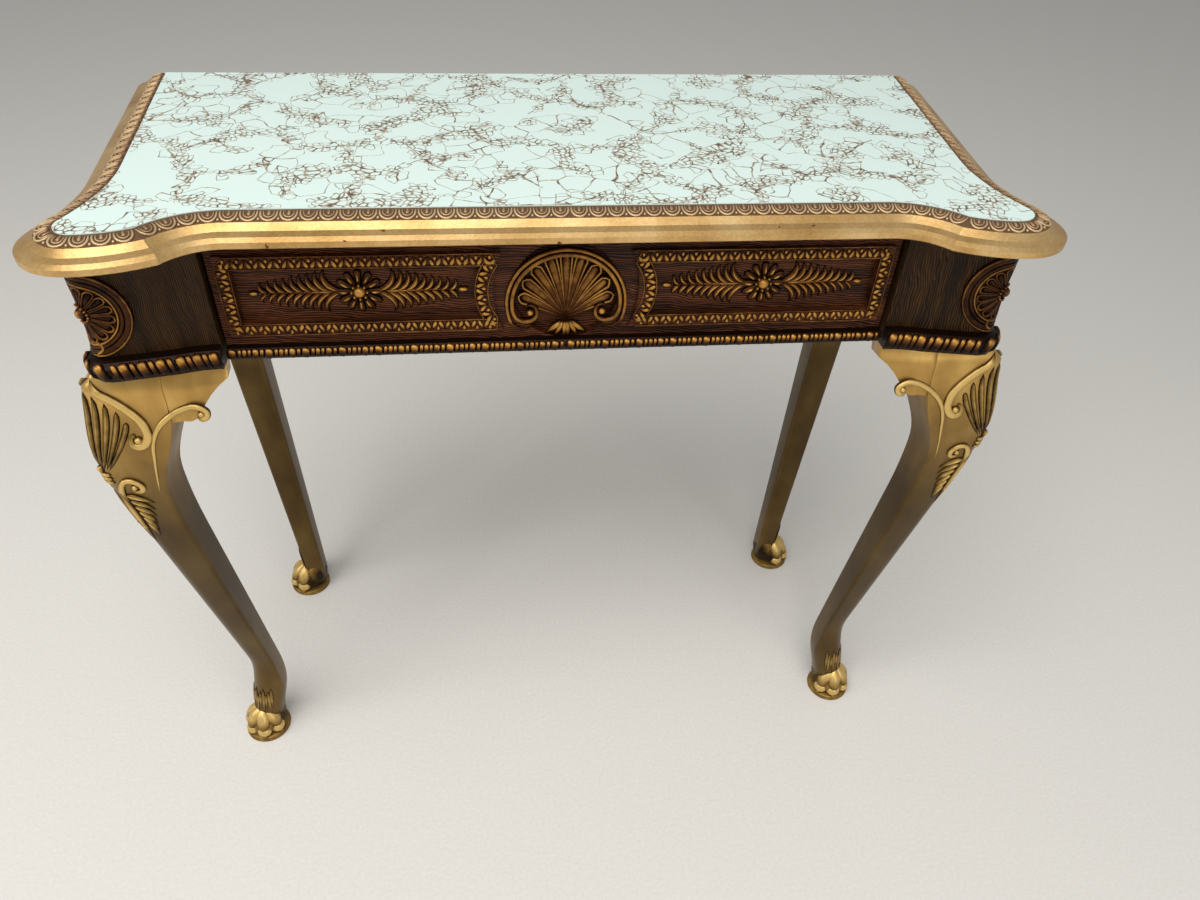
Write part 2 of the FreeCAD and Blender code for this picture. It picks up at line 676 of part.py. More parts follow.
def bevel_solid():
    """What is left inside the bevel along the leg's outer corner."""
    front = leg_front_line(d.ankle_sweep / 2)
    deep = stock * 2
    ankle = front[-1][-1]
    turns = [ankle, (ankle[0], d.paw_height), (deep, d.paw_height), (deep, APRON_FOOT), front[0][0]]
    diagonal = math.sqrt(2)
    across = Vec(stock, stock, 0)
    corner_point = Vec(*knee, 0) - across

    def place(u, z):
        step = u * diagonal + d.corner_bevel
        return corner_point + Vec(-step / diagonal, step / diagonal, z)

    outline = front + list(zip(turns, turns[1:]))
    return section_face(outline, place).extrude(across * 2)


def many_sided(centre, across, rise, radius, sides):
    """A closed ring of equal sides about a centre."""
    turns = [polar((0, 0), radius, 360 * (k + 0.5) / sides) for k in range(sides)]
    ring = [centre + across * x + rise * y for x, y in turns]
    return Part.makePolygon(ring + ring[:1])


def paw_ball(centre, radius):
    """The ball of the foot, cut in flats."""
    sides, cuts = 14, (-70, -40, -10, 20, 50, 75)
    rings = []
    for angle in cuts:
        out, up = polar((0, 0), radius, angle)
        rings.append(many_sided(centre + UP * up, Vec(1, 0, 0), Vec(0, 1, 0), out, sides))
    return Part.makeLoft(rings, True, True)


def toe_solid(knuckle, tip, radius):
    """An eight-sided toe that narrows to its tip."""
    bone = (tip - knuckle).normalize()
    side = bone.cross(UP).normalize()
    rise = side.cross(bone)
    stations = [(knuckle - bone * radius, 0.7), (knuckle, 1), (tip, 1), (tip + bone * radius, 0.55)]
    rings = [many_sided(centre, side, rise, radius * share, 8) for centre, share in stations]
    return Part.makeLoft(rings, True, True)


def paw_solids(centre, facing):
    """Round base, ball of the foot, and toes that fan out over the base."""
    base = Part.makeCylinder(d.pad_radius, d.pad_height, Vec(*centre, 0))
    solids = [base, paw_ball(Vec(*centre, d.paw_height), d.paw_radius)]
    for toe in range(int(d.toe_count)):
        angle = facing + d.toe_spread * (toe - (d.toe_count - 1) / 2)
        knuckle = Vec(*polar(centre, d.knuckle_reach, angle), d.knuckle_height)
        tip = Vec(*polar(centre, d.toe_reach, angle), d.pad_height + d.toe_radius)
        solids.append(toe_solid(knuckle, tip, d.toe_radius))
    return solids


def leg_blank():
    """The leg as it comes from the saw, before its outer corner is bevelled."""
    return through_front(leg_profile(*FRONT_SAW)).common(through_side(leg_profile(*SIDE_SAW)))


def front_leg():
    shaft = leg_blank().common(bevel_solid()).cut(dowel_holes())
    paw = paw_solids((knee[0] - d.paw_inset, knee[1] + d.paw_setback), -45)
    return shaft.multiFuse(paw).removeSplitter().Solids[0]


def wing_profile():
    """The ear: a square end, a hollow, a small scroll and a hollow back to the leg."""
    end = d.post_inset + d.post_width + d.wing_length
    hidden = d.post_inset + d.post_width / 2
    scroll = (end - d.volute_setback, APRON_FOOT - d.volute_drop)
    tip = (end, APRON_FOOT - d.wing_tip)
    above = polar(scroll, d.volute_radius, 35)
    below = polar(scroll, d.volute_radius, 215)
    foot = (hidden, APRON_FOOT - d.wing_foot)
    sag = d.volute_radius / 2
    upper = ((tip[0] * 2 + above[0]) / 3 - sag, (tip[1] + above[1] * 2) / 3 + sag)
    lower = ((below[0] * 2 + foot[0]) / 3, (below[1] * 2 + foot[1]) / 3 + 2 * sag)
    corners = [foot, (hidden, APRON_FOOT), (end, APRON_FOOT), tip]
    scroll_arc = (above, polar(scroll, d.volute_radius, -55), below)
    return list(zip(corners, corners[1:])) + [(tip, upper, above), scroll_arc, (below, lower, foot)]


def wing_skin(saw):
    """Keeps a wing behind the curved face of the knee."""
    front = leg_front_line(saw[0])
    turns = [front[-1][-1], (stock, d.ankle_height), (stock, APRON_FOOT), front[0][0]]
    return front + list(zip(turns, turns[1:]))


def front_wing():
    face = section_face(wing_profile(), lambda u, z: Vec(knee[0] - u, knee[1], z))
    ear = face.extrude(Vec(0, d.wing_depth, 0))
    return ear.common(through_side(wing_skin(SIDE_SAW))).cut(leg_blank()).Solids[0]


def side_wing():
    face = section_face(wing_profile(), lambda u, z: Vec(knee[0], knee[1] + u, z))
    ear = face.extrude(Vec(-d.wing_depth, 0, 0))
    return ear.common(through_front(wing_skin(FRONT_SAW))).cut(leg_blank()).Solids[0]


pair("front_leg", feature("front_leg", front_leg()))
pair("front_wing", feature("front_wing", front_wing()))
pair("side_wing", feature("side_wing", side_wing()))
dowel_feet = [Vec(*spot, dowel_foot) for spot in dowel_spots]
dowels = [Part.makeCylinder(d.dowel_radius, d.dowel_length, foot) for foot in dowel_feet]
dowels += [dowel.mirror(Vec(), Vec(1, 0, 0)) for dowel in dowels]
keep(feature("leg_dowels", Part.Compound(dowels)), "leg_dowels")


# Back legs: a square post, a tapered leg and a paw turned to the side.
def back_leg():
    inner = d.back_post_half - d.back_post_width
    corner_point = Vec(inner, post_front, APRON_FOOT)
    post = Part.makeBox(d.back_post_width, d.back_post_depth, d.apron_height, corner_point)
    paw_middle = (d.back_foot_half, BACK - d.back_foot_setback)
    post_middle = corner_point + Vec(d.back_post_width / 2, d.back_post_depth / 2, 0)
    ankle_middle = Vec(paw_middle[0] - d.back_lean, paw_middle[1], d.paw_height)
    rings = []
    for middle, wide, deep in (
        (post_middle, d.back_post_width, d.back_post_depth),
        (ankle_middle, d.back_ankle, d.back_ankle),
    ):
        across, along = Vec(wide / 2, 0, 0), Vec(0, deep / 2, 0)
        corners = [middle - across - along, middle + across - along]
        corners += [middle + across + along, middle - across + along]
        rings.append(Part.makePolygon(corners + corners[:1]))
    taper = Part.makeLoft(rings, True, True)
    return post.multiFuse([taper] + paw_solids(paw_middle, 0)).removeSplitter().Solids[0]


pair("back_leg", feature("back_leg", back_leg()))

# Names for places that several plain boards share, as expressions.
APRON_BOTTOM = "apron_foot"
APRON_TOP = "(table_height - top_thickness)"
BLOCK_FRONT = "(block_setback - top_depth / 2)"
BLOCK_BACK = "(%s + block_depth)" % BLOCK_FRONT
DRAWER_FACE = "(%s + drawer_recess)" % BLOCK_FRONT
DRAWER_BACK_FACE = "(%s + drawer_front_thickness)" % DRAWER_FACE
RAIL_FRONT = "(%s + rail_gap)" % DRAWER_BACK_FACE
RAIL_TOP = "(%s + rail_height)" % APRON_BOTTOM
BACK_OUTER = "(top_depth / 2 - back_clearance)"
BACK_INNER = "(%s - apron_thickness)" % BACK_OUTER
SIDE_OUTER = "(opening_half - side_clearance)"
SIDE_INNER = "(%s - drawer_side_thickness)" % SIDE_OUTER
SIDE_BOTTOM = "(%s + run_gap)" % RAIL_TOP
SIDE_TOP = "(%s + drawer_side_height)" % SIDE_BOTTOM
SIDE_END = "(%s + drawer_length)" % DRAWER_BACK_FACE
GROOVE_BOTTOM = "(%s + bottom_rise)" % SIDE_BOTTOM
GROOVE_TOP = "(%s + drawer_bottom_thickness)" % GROOVE_BOTTOM
RUNNER_OUTER = "(%s + guide_gap + guide_width)" % SIDE_OUTER
RUNNER_INNER = "(%s - runner_width)" % RUNNER_OUTER
KICKER_BOTTOM = "(%s + kicker_gap)" % SIDE_TOP
POST_INNER = "(back_post_half - back_post_width)"

# Carcase that carries the drawer.
APRON_SPAN = (APRON_BOTTOM, APRON_TOP)
RAIL_SPAN = (APRON_BOTTOM, RAIL_TOP)
RUNNER_WAY = (BLOCK_BACK, BACK_INNER)
back_apron = block("back_apron", ("-" + POST_INNER, POST_INNER), (BACK_INNER, BACK_OUTER), APRON_SPAN)
keep(back_apron, "back_apron")
front_rail = block("front_rail", ("-opening_half", "opening_half"), (RAIL_FRONT, BLOCK_BACK), RAIL_SPAN)
keep(front_rail, "front_rail")
pair("drawer_runner", block("runner", (RUNNER_INNER, RUNNER_OUTER), RUNNER_WAY, RAIL_SPAN))
guide_x = (SIDE_OUTER + " + guide_gap", RUNNER_OUTER)
pair("drawer_guide", block("guide", guide_x, RUNNER_WAY, (RAIL_TOP, RAIL_TOP + " + guide_height")))
stop_x = (SIDE_OUTER + " - stop_width", SIDE_OUTER)
stop_y = (SIDE_END + " + run_gap", BACK_INNER)
stop = block("stop_right", stop_x, stop_y, (RAIL_TOP, RAIL_TOP + " + stop_height"))
keep(group("drawer_stops", [stop, mirrored("stop_left", stop)]), "drawer_stops")

# Kickers hold the drawer level and take the screws that hold the top.
KICKER_INNER = "(%s - kicker_width)" % SIDE_INNER
KICKER_MIDDLE = "(%s - kicker_width / 2)" % SIDE_INNER
KICKER_SPAN = (KICKER_BOTTOM, APRON_TOP)
kicker = block("kicker_blank", (KICKER_INNER, SIDE_INNER), (RAIL_FRONT, BACK_INNER), KICKER_SPAN)
screws, kicker_holes, board_holes = [], [], []
for number in range(int(d.screw_count)):
    step = number - (d.screw_count - 1) / 2
    y = "(%s + %s) / 2 + screw_spacing * %g" % (RAIL_FRONT, BACK_INNER, step)
    spot = (KICKER_MIDDLE, y, KICKER_BOTTOM)
    head = rod("screw_head_%d" % number, "screw_head", "screw_head_height", *spot)
    shank = rod("screw_shank_%d" % number, "screw_radius", "screw_length", *spot)
    sink = rod("screw_sink_%d" % number, "screw_head + fit_gap", "screw_head_height + fit_gap", *spot)
    hole = rod("screw_hole_%d" % number, "screw_radius + fit_gap", "screw_length + fit_gap", *spot)
    screws.append(fuse("screw_%d" % number, [head, shank]))
    kicker_holes.append(fuse("kicker_hole_%d" % number, [sink, hole]))
    board_holes += [hole, mirrored("screw_hole_left_%d" % number, hole)]
pair("kicker", cut("kicker", kicker, fuse("kicker_holes", kicker_holes)))
keep(cut("top_board", board, fuse("board_holes", board_holes)), "top_board")
left_screws = [mirrored("screw_left_%d" % number, screw) for number, screw in enumerate(screws)]
keep(group("top_screws", screws + left_screws), "top_screws")

# Drawer box: sides grooved for the bottom, which runs under the back.
bottom = block(
    "drawer_bottom", ("-(%s + bottom_groove)" % SIDE_INNER, SIDE_INNER + " + bottom_groove"),
    (DRAWER_BACK_FACE + " - bottom_groove", SIDE_END), (GROOVE_BOTTOM, GROOVE_TOP),
)
keep(bottom, "drawer_bottom")
SIDE_WAY = (DRAWER_BACK_FACE, SIDE_END)
side_blank = block("side_blank", (SIDE_INNER, SIDE_OUTER), SIDE_WAY, (SIDE_BOTTOM, SIDE_TOP))
pair("drawer_side", cut("drawer_side", side_blank, bottom))
back_y = (SIDE_END + " - drawer_side_thickness", SIDE_END)
keep(block("drawer_back", ("-" + SIDE_INNER, SIDE_INNER), back_y, (GROOVE_TOP, SIDE_TOP)), "drawer_back")


# Drawer front: a padded board with sunk grounds, a round recess and a groove.
def sketch_on_front(body, name, depth):
    """A sketch parallel to the drawer's face, moved forward by a depth expression."""
    sketch = body.newObject("Sketcher::SketchObject", name)
    plane = next(part for part in body.Origin.OriginFeatures if part.Role == "XZ_Plane")
    sketch.AttachmentSupport = (plane, [""])
    sketch.MapMode = "FlatFace"
    bind(sketch, AttachmentOffset__Base__z=depth)
    return sketch


def limit(sketch, kind, places, text):
    """One dimension of a sketch, bound to the sheet."""
    number = sketch.addConstraint(Sketcher.Constraint(kind, *places, 10.0))
    sketch.setExpression("Constraints[%d]" % number, cells(text))


def rectangle(sketch, left, low, wide, tall):
    first = sketch.GeometryCount
    corners = [Vec(20, 20, 0), Vec(40, 20, 0), Vec(40, 30, 0), Vec(20, 30, 0)]
    for start, end in zip(corners, corners[1:] + corners[:1]):
        sketch.addGeometry(Part.LineSegment(start, end))
    for side in range(4):
        sketch.addConstraint(Sketcher.Constraint("Coincident", first + side, 2, first + (side + 1) % 4, 1))
        sketch.addConstraint(Sketcher.Constraint(("Horizontal", "Vertical")[side % 2], first + side))
    limit(sketch, "DistanceX", (-1, 1, first, 1), left)
    limit(sketch, "DistanceY", (-1, 1, first, 1), low)
    limit(sketch, "DistanceX", (first, 1, first, 2), wide)
    limit(sketch, "DistanceY", (first + 1, 1, first + 1, 2), tall)


def circle(sketch, x, z, radius):
    first = sketch.addGeometry(Part.Circle(Vec(30, 30, 0), UP, 5))
    limit(sketch, "DistanceX", (-1, 1, first, 3), x)
    limit(sketch, "DistanceY", (-1, 1, first, 3), z)
    limit(sketch, "Radius", (first,), radius)


def pocket(body, sketch, length, reversed_cut):
    """A pocket that has to take something away."""
    doc.recompute()
    before = body.Shape.Volume
    result = body.newObject("PartDesign::Pocket", sketch.Name + "_pocket")
    result.Profile = sketch
    result.Reversed = reversed_cut
    bind(result, Length=length)
    doc.recompute()
    assert body.Shape.Volume < before, sketch.Name


FRONT_HALF = "(opening_half - drawer_gap)"
FRONT_BOTTOM = "(%s + drawer_lift)" % APRON_BOTTOM
drawer_front = doc.addObject("PartDesign::Body", "drawer_front")
bind(drawer_front, Placement__Base__x="-" + FRONT_HALF)
bind(drawer_front, Placement__Base__y=DRAWER_BACK_FACE, Placement__Base__z=FRONT_BOTTOM)
outline = sketch_on_front(drawer_front, "front_outline", "0")
rectangle(outline, "0", "0", "2 * " + FRONT_HALF, "apron_height - 2 * drawer_lift")
pad = drawer_front.newObject("PartDesign::Pad", "front_pad")
pad.Profile = outline
bind(pad, Length="drawer_front_thickness")

grounds = sketch_on_front(drawer_front, "panel_grounds", "drawer_front_thickness")
GROUND_WIDE = "panel_length - 2 * frame_width"
GROUND_TALL = "panel_height - 2 * frame_width"
GROUND_LOW = "panel_bottom + frame_width - " + FRONT_BOTTOM
rectangle(grounds, FRONT_HALF + " - panel_outer + frame_width", GROUND_LOW, GROUND_WIDE, GROUND_TALL)
GROUND_RIGHT = FRONT_HALF + " + panel_inner + panel_hollow + frame_width"
rectangle(grounds, GROUND_RIGHT, GROUND_LOW, GROUND_WIDE, GROUND_TALL)
pocket(drawer_front, grounds, "ground_depth", False)

recess = sketch_on_front(drawer_front, "shell_recess", "drawer_front_thickness")
circle(recess, FRONT_HALF, "recess_height - " + FRONT_BOTTOM, "recess_radius")
pocket(drawer_front, recess, "recess_depth", False)

groove = sketch_on_front(drawer_front, "bottom_slot", "0")
GROOVE_HALF = "(%s + bottom_groove)" % SIDE_INNER
groove_corner = (FRONT_HALF + " - " + GROOVE_HALF, GROOVE_BOTTOM + " - " + FRONT_BOTTOM)
rectangle(groove, *groove_corner, "2 * " + GROOVE_HALF, "drawer_bottom_thickness")
pocket(drawer_front, groove, "bottom_groove", True)
keep(drawer_front, "drawer_front")

# Carving on the drawer front. Points on its face are an x and a height.
face_y = block_inner[1] + d.drawer_recess


def on_face(x, z, proud=0):
    return Vec(x, face_y - proud, z)


def relief(face, height):
    return face.extrude(Vec(0, -height, 0))


def panel_outline(inset):
    """A panel's outline: square outside, hollow towards the medallion."""
    low, high = d.panel_bottom + inset, d.panel_bottom + d.panel_height - inset
    outer, inner = d.panel_outer - inset, d.panel_inner + inset
    middle = (inner + d.panel_hollow, (low + high) / 2)
    corners = [(inner, low), (outer, low), (outer, high), (inner, high)]
    return section_face(list(zip(corners, corners[1:])) + [(corners[3], middle, corners[0])], on_face)


frame = panel_outline(0).cut(panel_outline(d.frame_width))
pair("panel_frame", feature("panel_frame", relief(frame, d.frame_relief).Solids[0]))


def leaf(root, angle, length, width):
    """A pointed leaf on the sunk ground, leaning at an angle."""
    axis = Vec(*polar((0, 0), 1, angle), 0)
    side = Vec(-axis.y, axis.x, 0)
    start = Vec(*root, 0)
    outline = [(0, 0), (0.3, 0.5), (0.7, 0.4), (1, 0), (0.7, -0.4), (0.3, -0.5)]
    spots = [start + axis * length * along + side * width * out for along, out in outline]
    spots = [Vec(spot.x, face_y + d.ground_depth, spot.y) for spot in spots]
    return relief(Part.Face(Part.makePolygon(spots + spots[:1])), d.spray_relief)


def rosette_spray():
    """A daisy with a branch of paired leaflets on each side."""
    middle = (d.rosette_half, d.panel_bottom + d.panel_height / 2)
    step = 360 / d.petal_count
    leaves = []
    for k in range(int(d.petal_count)):
        root = polar(middle, d.rosette_hub / 2, step * k)
        leaves.append(leaf(root, step * k, d.petal_length, d.petal_width))
    hub_foot = Vec(middle[0], face_y + d.ground_depth, middle[1])
    hub = Part.makeCylinder(d.rosette_hub, d.hub_relief, hub_foot, Vec(0, -1, 0))
    stem_start = d.petal_length
    stem_length = d.spray_half - stem_start
    for way in (0, 180):
        leaves.append(leaf(polar(middle, stem_start, way), way, stem_length, d.leaflet_width))
        for k in range(int(d.spray_pairs)):
            share = k / d.spray_pairs
            root = polar(middle, stem_start + stem_length * share * 0.8, way)
            size = 1 - 0.45 * share
            for lean in (d.leaflet_angle, -d.leaflet_angle):
                leaves.append(leaf(root, way + lean, d.leaflet_length * size, d.leaflet_width * size))
    return leaves[0].multiFuse(leaves[1:] + [hub]).removeSplitter().Solids[0]


pair("rosette_spray", feature("rosette_spray", rosette_spray()))


# Shell, ring and calyx of the medallion.
def rib(root, angle, length, root_half, end_half):
    """A rib that widens from the hub to a round end."""
    way = Vec(math.cos(math.radians(angle)), 0, math.sin(math.radians(angle)))
    side = Vec(-way.z, 0, way.x)
    end = root + way * length
    spots = [root - side * root_half, end - side * end_half]
    spots += [end + way * end_half + side * end_half * share for share in (-0.5, 0.5)]
    spots += [end + side * end_half, root + side * root_half]
    return relief(Part.Face(Part.makePolygon(spots + spots[:1])), d.rib_relief)


def fan(count, spread, middle):
    return [middle + spread * (k / (count - 1) - 0.5) for k in range(int(count))]


def shell_solid():
    hub = Vec(0, face_y + d.recess_depth, d.medallion_height - d.shell_drop)
    solids = [Part.makeCylinder(d.shell_hub, d.rib_relief, hub, Vec(0, -1, 0))]
    for angle in fan(d.rib_count, d.rib_fan, 90):
        turn = math.radians(angle)
        length = 1 / math.hypot(math.cos(turn) / d.shell_half_width, math.sin(turn) / d.shell_rise)
        solids.append(rib(hub, angle, length, d.rib_root, d.rib_half))
    for angle in fan(d.calyx_count, d.calyx_fan, -90):
        solids.append(rib(hub, angle, d.calyx_length, d.rib_root, d.shell_hub / 2))
    return solids[0].multiFuse(solids[1:]).removeSplitter().Solids[0]


def ring_solid():
    """A rounded ring, open at its foot, with a small scroll on each end."""
    middle = Vec(0, 0, d.medallion_height)
    outer = d.medallion_radius
    inner = outer - d.ring_width
    start = -90 + d.ring_gap_angle / 2
    sweep = 360 - d.ring_gap_angle

    def place(radius, proud):
        x, z = polar((0, d.medallion_height), radius, start)
        return on_face(x, z, proud)

    slope = d.ring_width / 4
    corners = [(inner, 0), (outer, 0), (outer - slope, d.ring_relief), (inner + slope, d.ring_relief)]
    band = section_face(flats(corners), place).revolve(middle, Vec(0, -1, 0), sweep)
    scrolls = []
    for angle in (start, start + sweep):
        x, z = polar((0, d.medallion_height), outer - d.ring_volute, angle)
        disc = many_sided(on_face(x, z), Vec(1, 0, 0), UP, d.ring_volute, 12)
        scrolls.append(relief(Part.Face(disc), d.volute_relief))
    return band.multiFuse(scrolls).removeSplitter().Solids[0]


keep(feature("shell", shell_solid()), "shell")
keep(feature("shell_ring", ring_solid()), "shell_ring")
front_bottom = APRON_FOOT + d.drawer_lift
front_half = d.opening_half - d.drawer_gap
lower_edge = gadroon_section(d.drawer_recess, front_bottom, d.drawer_gadroon_height)
lower_run = [((front_half, face_y), (-front_half, face_y))]
keep(feature("drawer_gadroon", run(lower_edge, lower_run)), "drawer_gadroon")

# Check every object, then write each piece to its own file.
doc.recompute()
for thing in doc.Objects:
    bad = [state for state in thing.State if state in ("Invalid", "Error")]
    if bad:
        raise RuntimeError("%s failed: %s" % (thing.Name, bad))
os.makedirs("parts", exist_ok=True)
for piece in pieces:
    if piece.Shape.isNull() or not piece.Shape.isValid() or not piece.Shape.Solids:
        raise RuntimeError("%s has no sound solid" % piece.Label)
    piece.Shape.exportStep("parts/%s.step" % piece.Label)
print(len(pieces), "pieces written")
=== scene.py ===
# %% [markdown]
# A pier table with a top of veined mirror glass. Its frame, drawer and legs come from the
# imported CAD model, which is loaded first and never moved. Blender adds what the chisel and
# the gilder added on the real one: carving, wood grain, gilding and wear.
# %% Load the frame
import bmesh
import bpy
import itertools
import math
from mathutils import Matrix, Vector


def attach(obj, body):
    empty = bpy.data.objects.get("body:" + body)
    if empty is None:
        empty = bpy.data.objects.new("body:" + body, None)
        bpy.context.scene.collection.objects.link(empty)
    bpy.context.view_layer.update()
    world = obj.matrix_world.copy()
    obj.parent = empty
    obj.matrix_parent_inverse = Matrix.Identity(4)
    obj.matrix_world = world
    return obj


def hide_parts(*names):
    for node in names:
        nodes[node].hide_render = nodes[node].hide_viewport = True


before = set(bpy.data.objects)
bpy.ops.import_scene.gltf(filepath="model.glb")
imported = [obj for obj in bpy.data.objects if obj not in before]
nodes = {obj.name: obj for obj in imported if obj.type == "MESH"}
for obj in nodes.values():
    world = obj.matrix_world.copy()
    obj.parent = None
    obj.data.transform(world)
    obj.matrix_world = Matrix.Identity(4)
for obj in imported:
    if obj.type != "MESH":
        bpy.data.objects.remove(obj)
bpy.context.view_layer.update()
MM = 0.001

# %% [markdown]
# Colours are written as sRGB hex codes, as a paint chart gives them. Blender's nodes work in
# linear light, so one function turns a code into linear numbers. A second small function adds
# a node, sets it up and links it, so that each finish below reads like a recipe. Patterns get
# their scale from the size of their features in millimetres.
# %% Colours and nodes


def paint(code):
    parts = [int(code[k:k + 2], 16) / 255 for k in (1, 3, 5)]
    return [p / 12.92 if p <= 0.04045 else ((p + 0.055) / 1.055) ** 2.4 for p in parts] + [1]


def add(tree, kind, inputs=None, stops=None, **settings):
    """Adds a node. An input may be a number, a colour, a socket, or a node for its first output."""
    node = tree.nodes.new("ShaderNode" + kind)
    for name, value in settings.items():
        setattr(node, name, value)
    for name, value in (inputs or {}).items():
        if isinstance(value, bpy.types.Node):
            value = next(socket for socket in value.outputs if socket.enabled)
        if isinstance(value, bpy.types.NodeSocket):
            tree.links.new(value, node.inputs[name])
        else:
            node.inputs[name].default_value = value
    if stops:
        ramp = node.color_ramp
        while len(ramp.elements) < len(stops):
            ramp.elements.new(0.5)
        for element, (place, code) in zip(ramp.elements, stops):
            element.position = place
            element.color = paint(code)
    return node


def pattern(tree, kind, spot, span, inputs, **settings):
    """Adds a texture of any kind whose features are about span millimetres across."""
    return add(tree, kind, {"Vector": spot, "Scale": 1 / (span * MM), **inputs}, **settings)


def pushed(tree, spot, span, far):
    """The spot moved about by slow noise: how long its waves are and how far it goes, in mm."""
    drift = pattern(tree, "TexNoise", spot, span, {"Detail": 1.0}).outputs["Color"]
    centred = add(tree, "VectorMath", {0: drift, 1: (0.5, 0.5, 0.5)}, operation="SUBTRACT")
    return add(tree, "VectorMath", {0: centred, 1: [2 * far * MM] * 3, 2: spot}, operation="MULTIPLY_ADD")


def start_finish(name):
    finish = bpy.data.materials.new(name)
    finish.use_nodes = True
    tree = finish.node_tree
    tree.nodes.clear()
    return finish, tree, add(tree, "TexCoord").outputs["Object"]


def end_finish(finish, inputs):
    """Ends a finish with its surface."""
    tree = finish.node_tree
    add(tree, "OutputMaterial", {"Surface": add(tree, "BsdfPrincipled", inputs)})
    print(finish.name, "finish:", len(tree.nodes), "nodes")


print("helpers ready; white is", [round(part, 2) for part in paint("#ffffff")])

# %% [markdown]
# The top is a sheet of mirror glass whose silver was veined by hand. Clear patches of pale
# mint lie between bands of small cells like gravel, and brown oxide has crept along every
# crack. Patches, stones, pebbles and gravel are four cell patterns. The bands follow the
# edges of the patches, wide here and narrow there, and a small cell is outlined only if its
# middle lies in the band for its size, so every cell that shows is whole.
# %% Veined mirror glass
PATCH, PATCH_LINE = 60, 1.1
SINGLE_CRACK = 0.06
# cell size and line width in mm, then the reach past the band's edge as shares of a patch
GRAVEL = ((6.0, 1.2, -1, 0), (11.5, 1.2, 0, 0.07), (25, 1.1, 0.07, 0.2))
UNEVEN, FLAT = {"Randomness": 0.94}, {"voronoi_dimensions": "2D"}
veined_mirror, tree, place = start_finish("veined_mirror_glass")


def band_at(spot):
    """Half the width of the gravel beside a crack, as a share of a patch."""
    return add(tree, "MapRange", {
        "Value": pattern(tree, "TexNoise", spot, 46, {"Detail": 1.0}),
        "From Min": 0.42, "From Max": 0.64, "To Min": -0.02, "To Max": 0.26}, clamp=False)


def outlines(spot, span, thick):
    """1 on the line between two cells, which is broader where three meet, as between pebbles."""
    first, second = [pattern(tree, "TexVoronoi", spot, span, UNEVEN, feature=nearest, **FLAT)
                     for nearest in ("F1", "F2")]
    gap = add(tree, "Math", {0: second, 1: first}, operation="SUBTRACT")
    return add(tree, "MapRange", {
        "Value": gap, "From Min": thick / span * 0.4, "From Max": thick / span * 1.5,
        "To Min": 1.0, "To Max": 0.0})


def all_of(*parts):
    whole = parts[0]
    for part in parts[1:]:
        whole = add(tree, "Math", {0: whole, 1: part}, operation="MULTIPLY")
    return whole


wavy = pushed(tree, pushed(tree, place, 30, 9), 7, 0.9)
single = add(tree, "Math", {0: band_at(wavy), 1: SINGLE_CRACK}, operation="LESS_THAN")
veins = all_of(outlines(wavy, PATCH, PATCH_LINE), single)
for span, thick, near, far in GRAVEL:
    middle = pattern(tree, "TexVoronoi", wavy, span, UNEVEN, feature="F1", **FLAT).outputs["Position"]
    to_edge = pattern(tree, "TexVoronoi", middle, PATCH, UNEVEN, feature="DISTANCE_TO_EDGE", **FLAT)
    beyond = add(tree, "Math", {0: to_edge, 1: band_at(middle)}, operation="SUBTRACT")
    over = add(tree, "Math", {0: beyond, 1: near}, operation="GREATER_THAN")
    under = add(tree, "Math", {0: beyond, 1: far}, operation="LESS_THAN")
    layer = all_of(outlines(wavy, span, thick), over, under)
    veins = add(tree, "Math", {0: veins, 1: layer}, operation="MAXIMUM")
depth = add(tree, "MapRange", {
    "Value": pattern(tree, "TexNoise", place, 6, {"Detail": 2.0}),
    "From Min": 0.36, "From Max": 0.6, "To Min": 0.3})
lie = add(tree, "SeparateXYZ", {"Vector": add(tree, "NewGeometry").outputs["Normal"]})
upper = add(tree, "Math", {0: lie.outputs["Z"], 1: 0.5}, operation="GREATER_THAN")
tone = add(tree, "ValToRGB", {"Fac": all_of(veins, depth, upper)},
           stops=[(0.0, "#ddefe6"), (0.35, "#b9b3a0"), (0.7, "#8a7962"), (1.0, "#5a4834")])
end_finish(veined_mirror, {"Base Color": tone, "Roughness": 0.1, "Specular IOR Level": 0.5})

# %% [markdown]
# The moulding round the glass is water gilt and rubbed: gold leaf over a red-brown clay, worn
# thin in a fine speckle, so that the clay shows through a little everywhere and fully at a few
# chips.
# %% Light gilt
light_gilt, tree, place = start_finish("light_gilt")
speck = pattern(tree, "TexNoise", place, 2.4, {"Detail": 3.0})
cloud = pattern(tree, "TexNoise", place, 48, {"Detail": 3.0})
chips = pattern(tree, "TexNoise", place, 15, {"Detail": 3.0})
wear = add(tree, "Math", {0: speck, 1: 0.25, 2: 0.1}, operation="MULTIPLY_ADD")
both = add(tree, "Math", {0: cloud, 1: 0.55, 2: wear}, operation="MULTIPLY_ADD")
tone = add(tree, "ValToRGB", {"Fac": both}, stops=[(0.36, "#ac8448"), (0.5, "#c69f64"), (0.64, "#dab980")])
bare = add(tree, "MapRange", {"Value": chips, "From Min": 0.69, "From Max": 0.71})
worn = add(tree, "Mix", {"Factor": bare, "A": tone, "B": paint("#6a3420")}, data_type="RGBA")
end_finish(light_gilt, {"Base Color": worn, "Metallic": 0.7, "Roughness": 0.36})
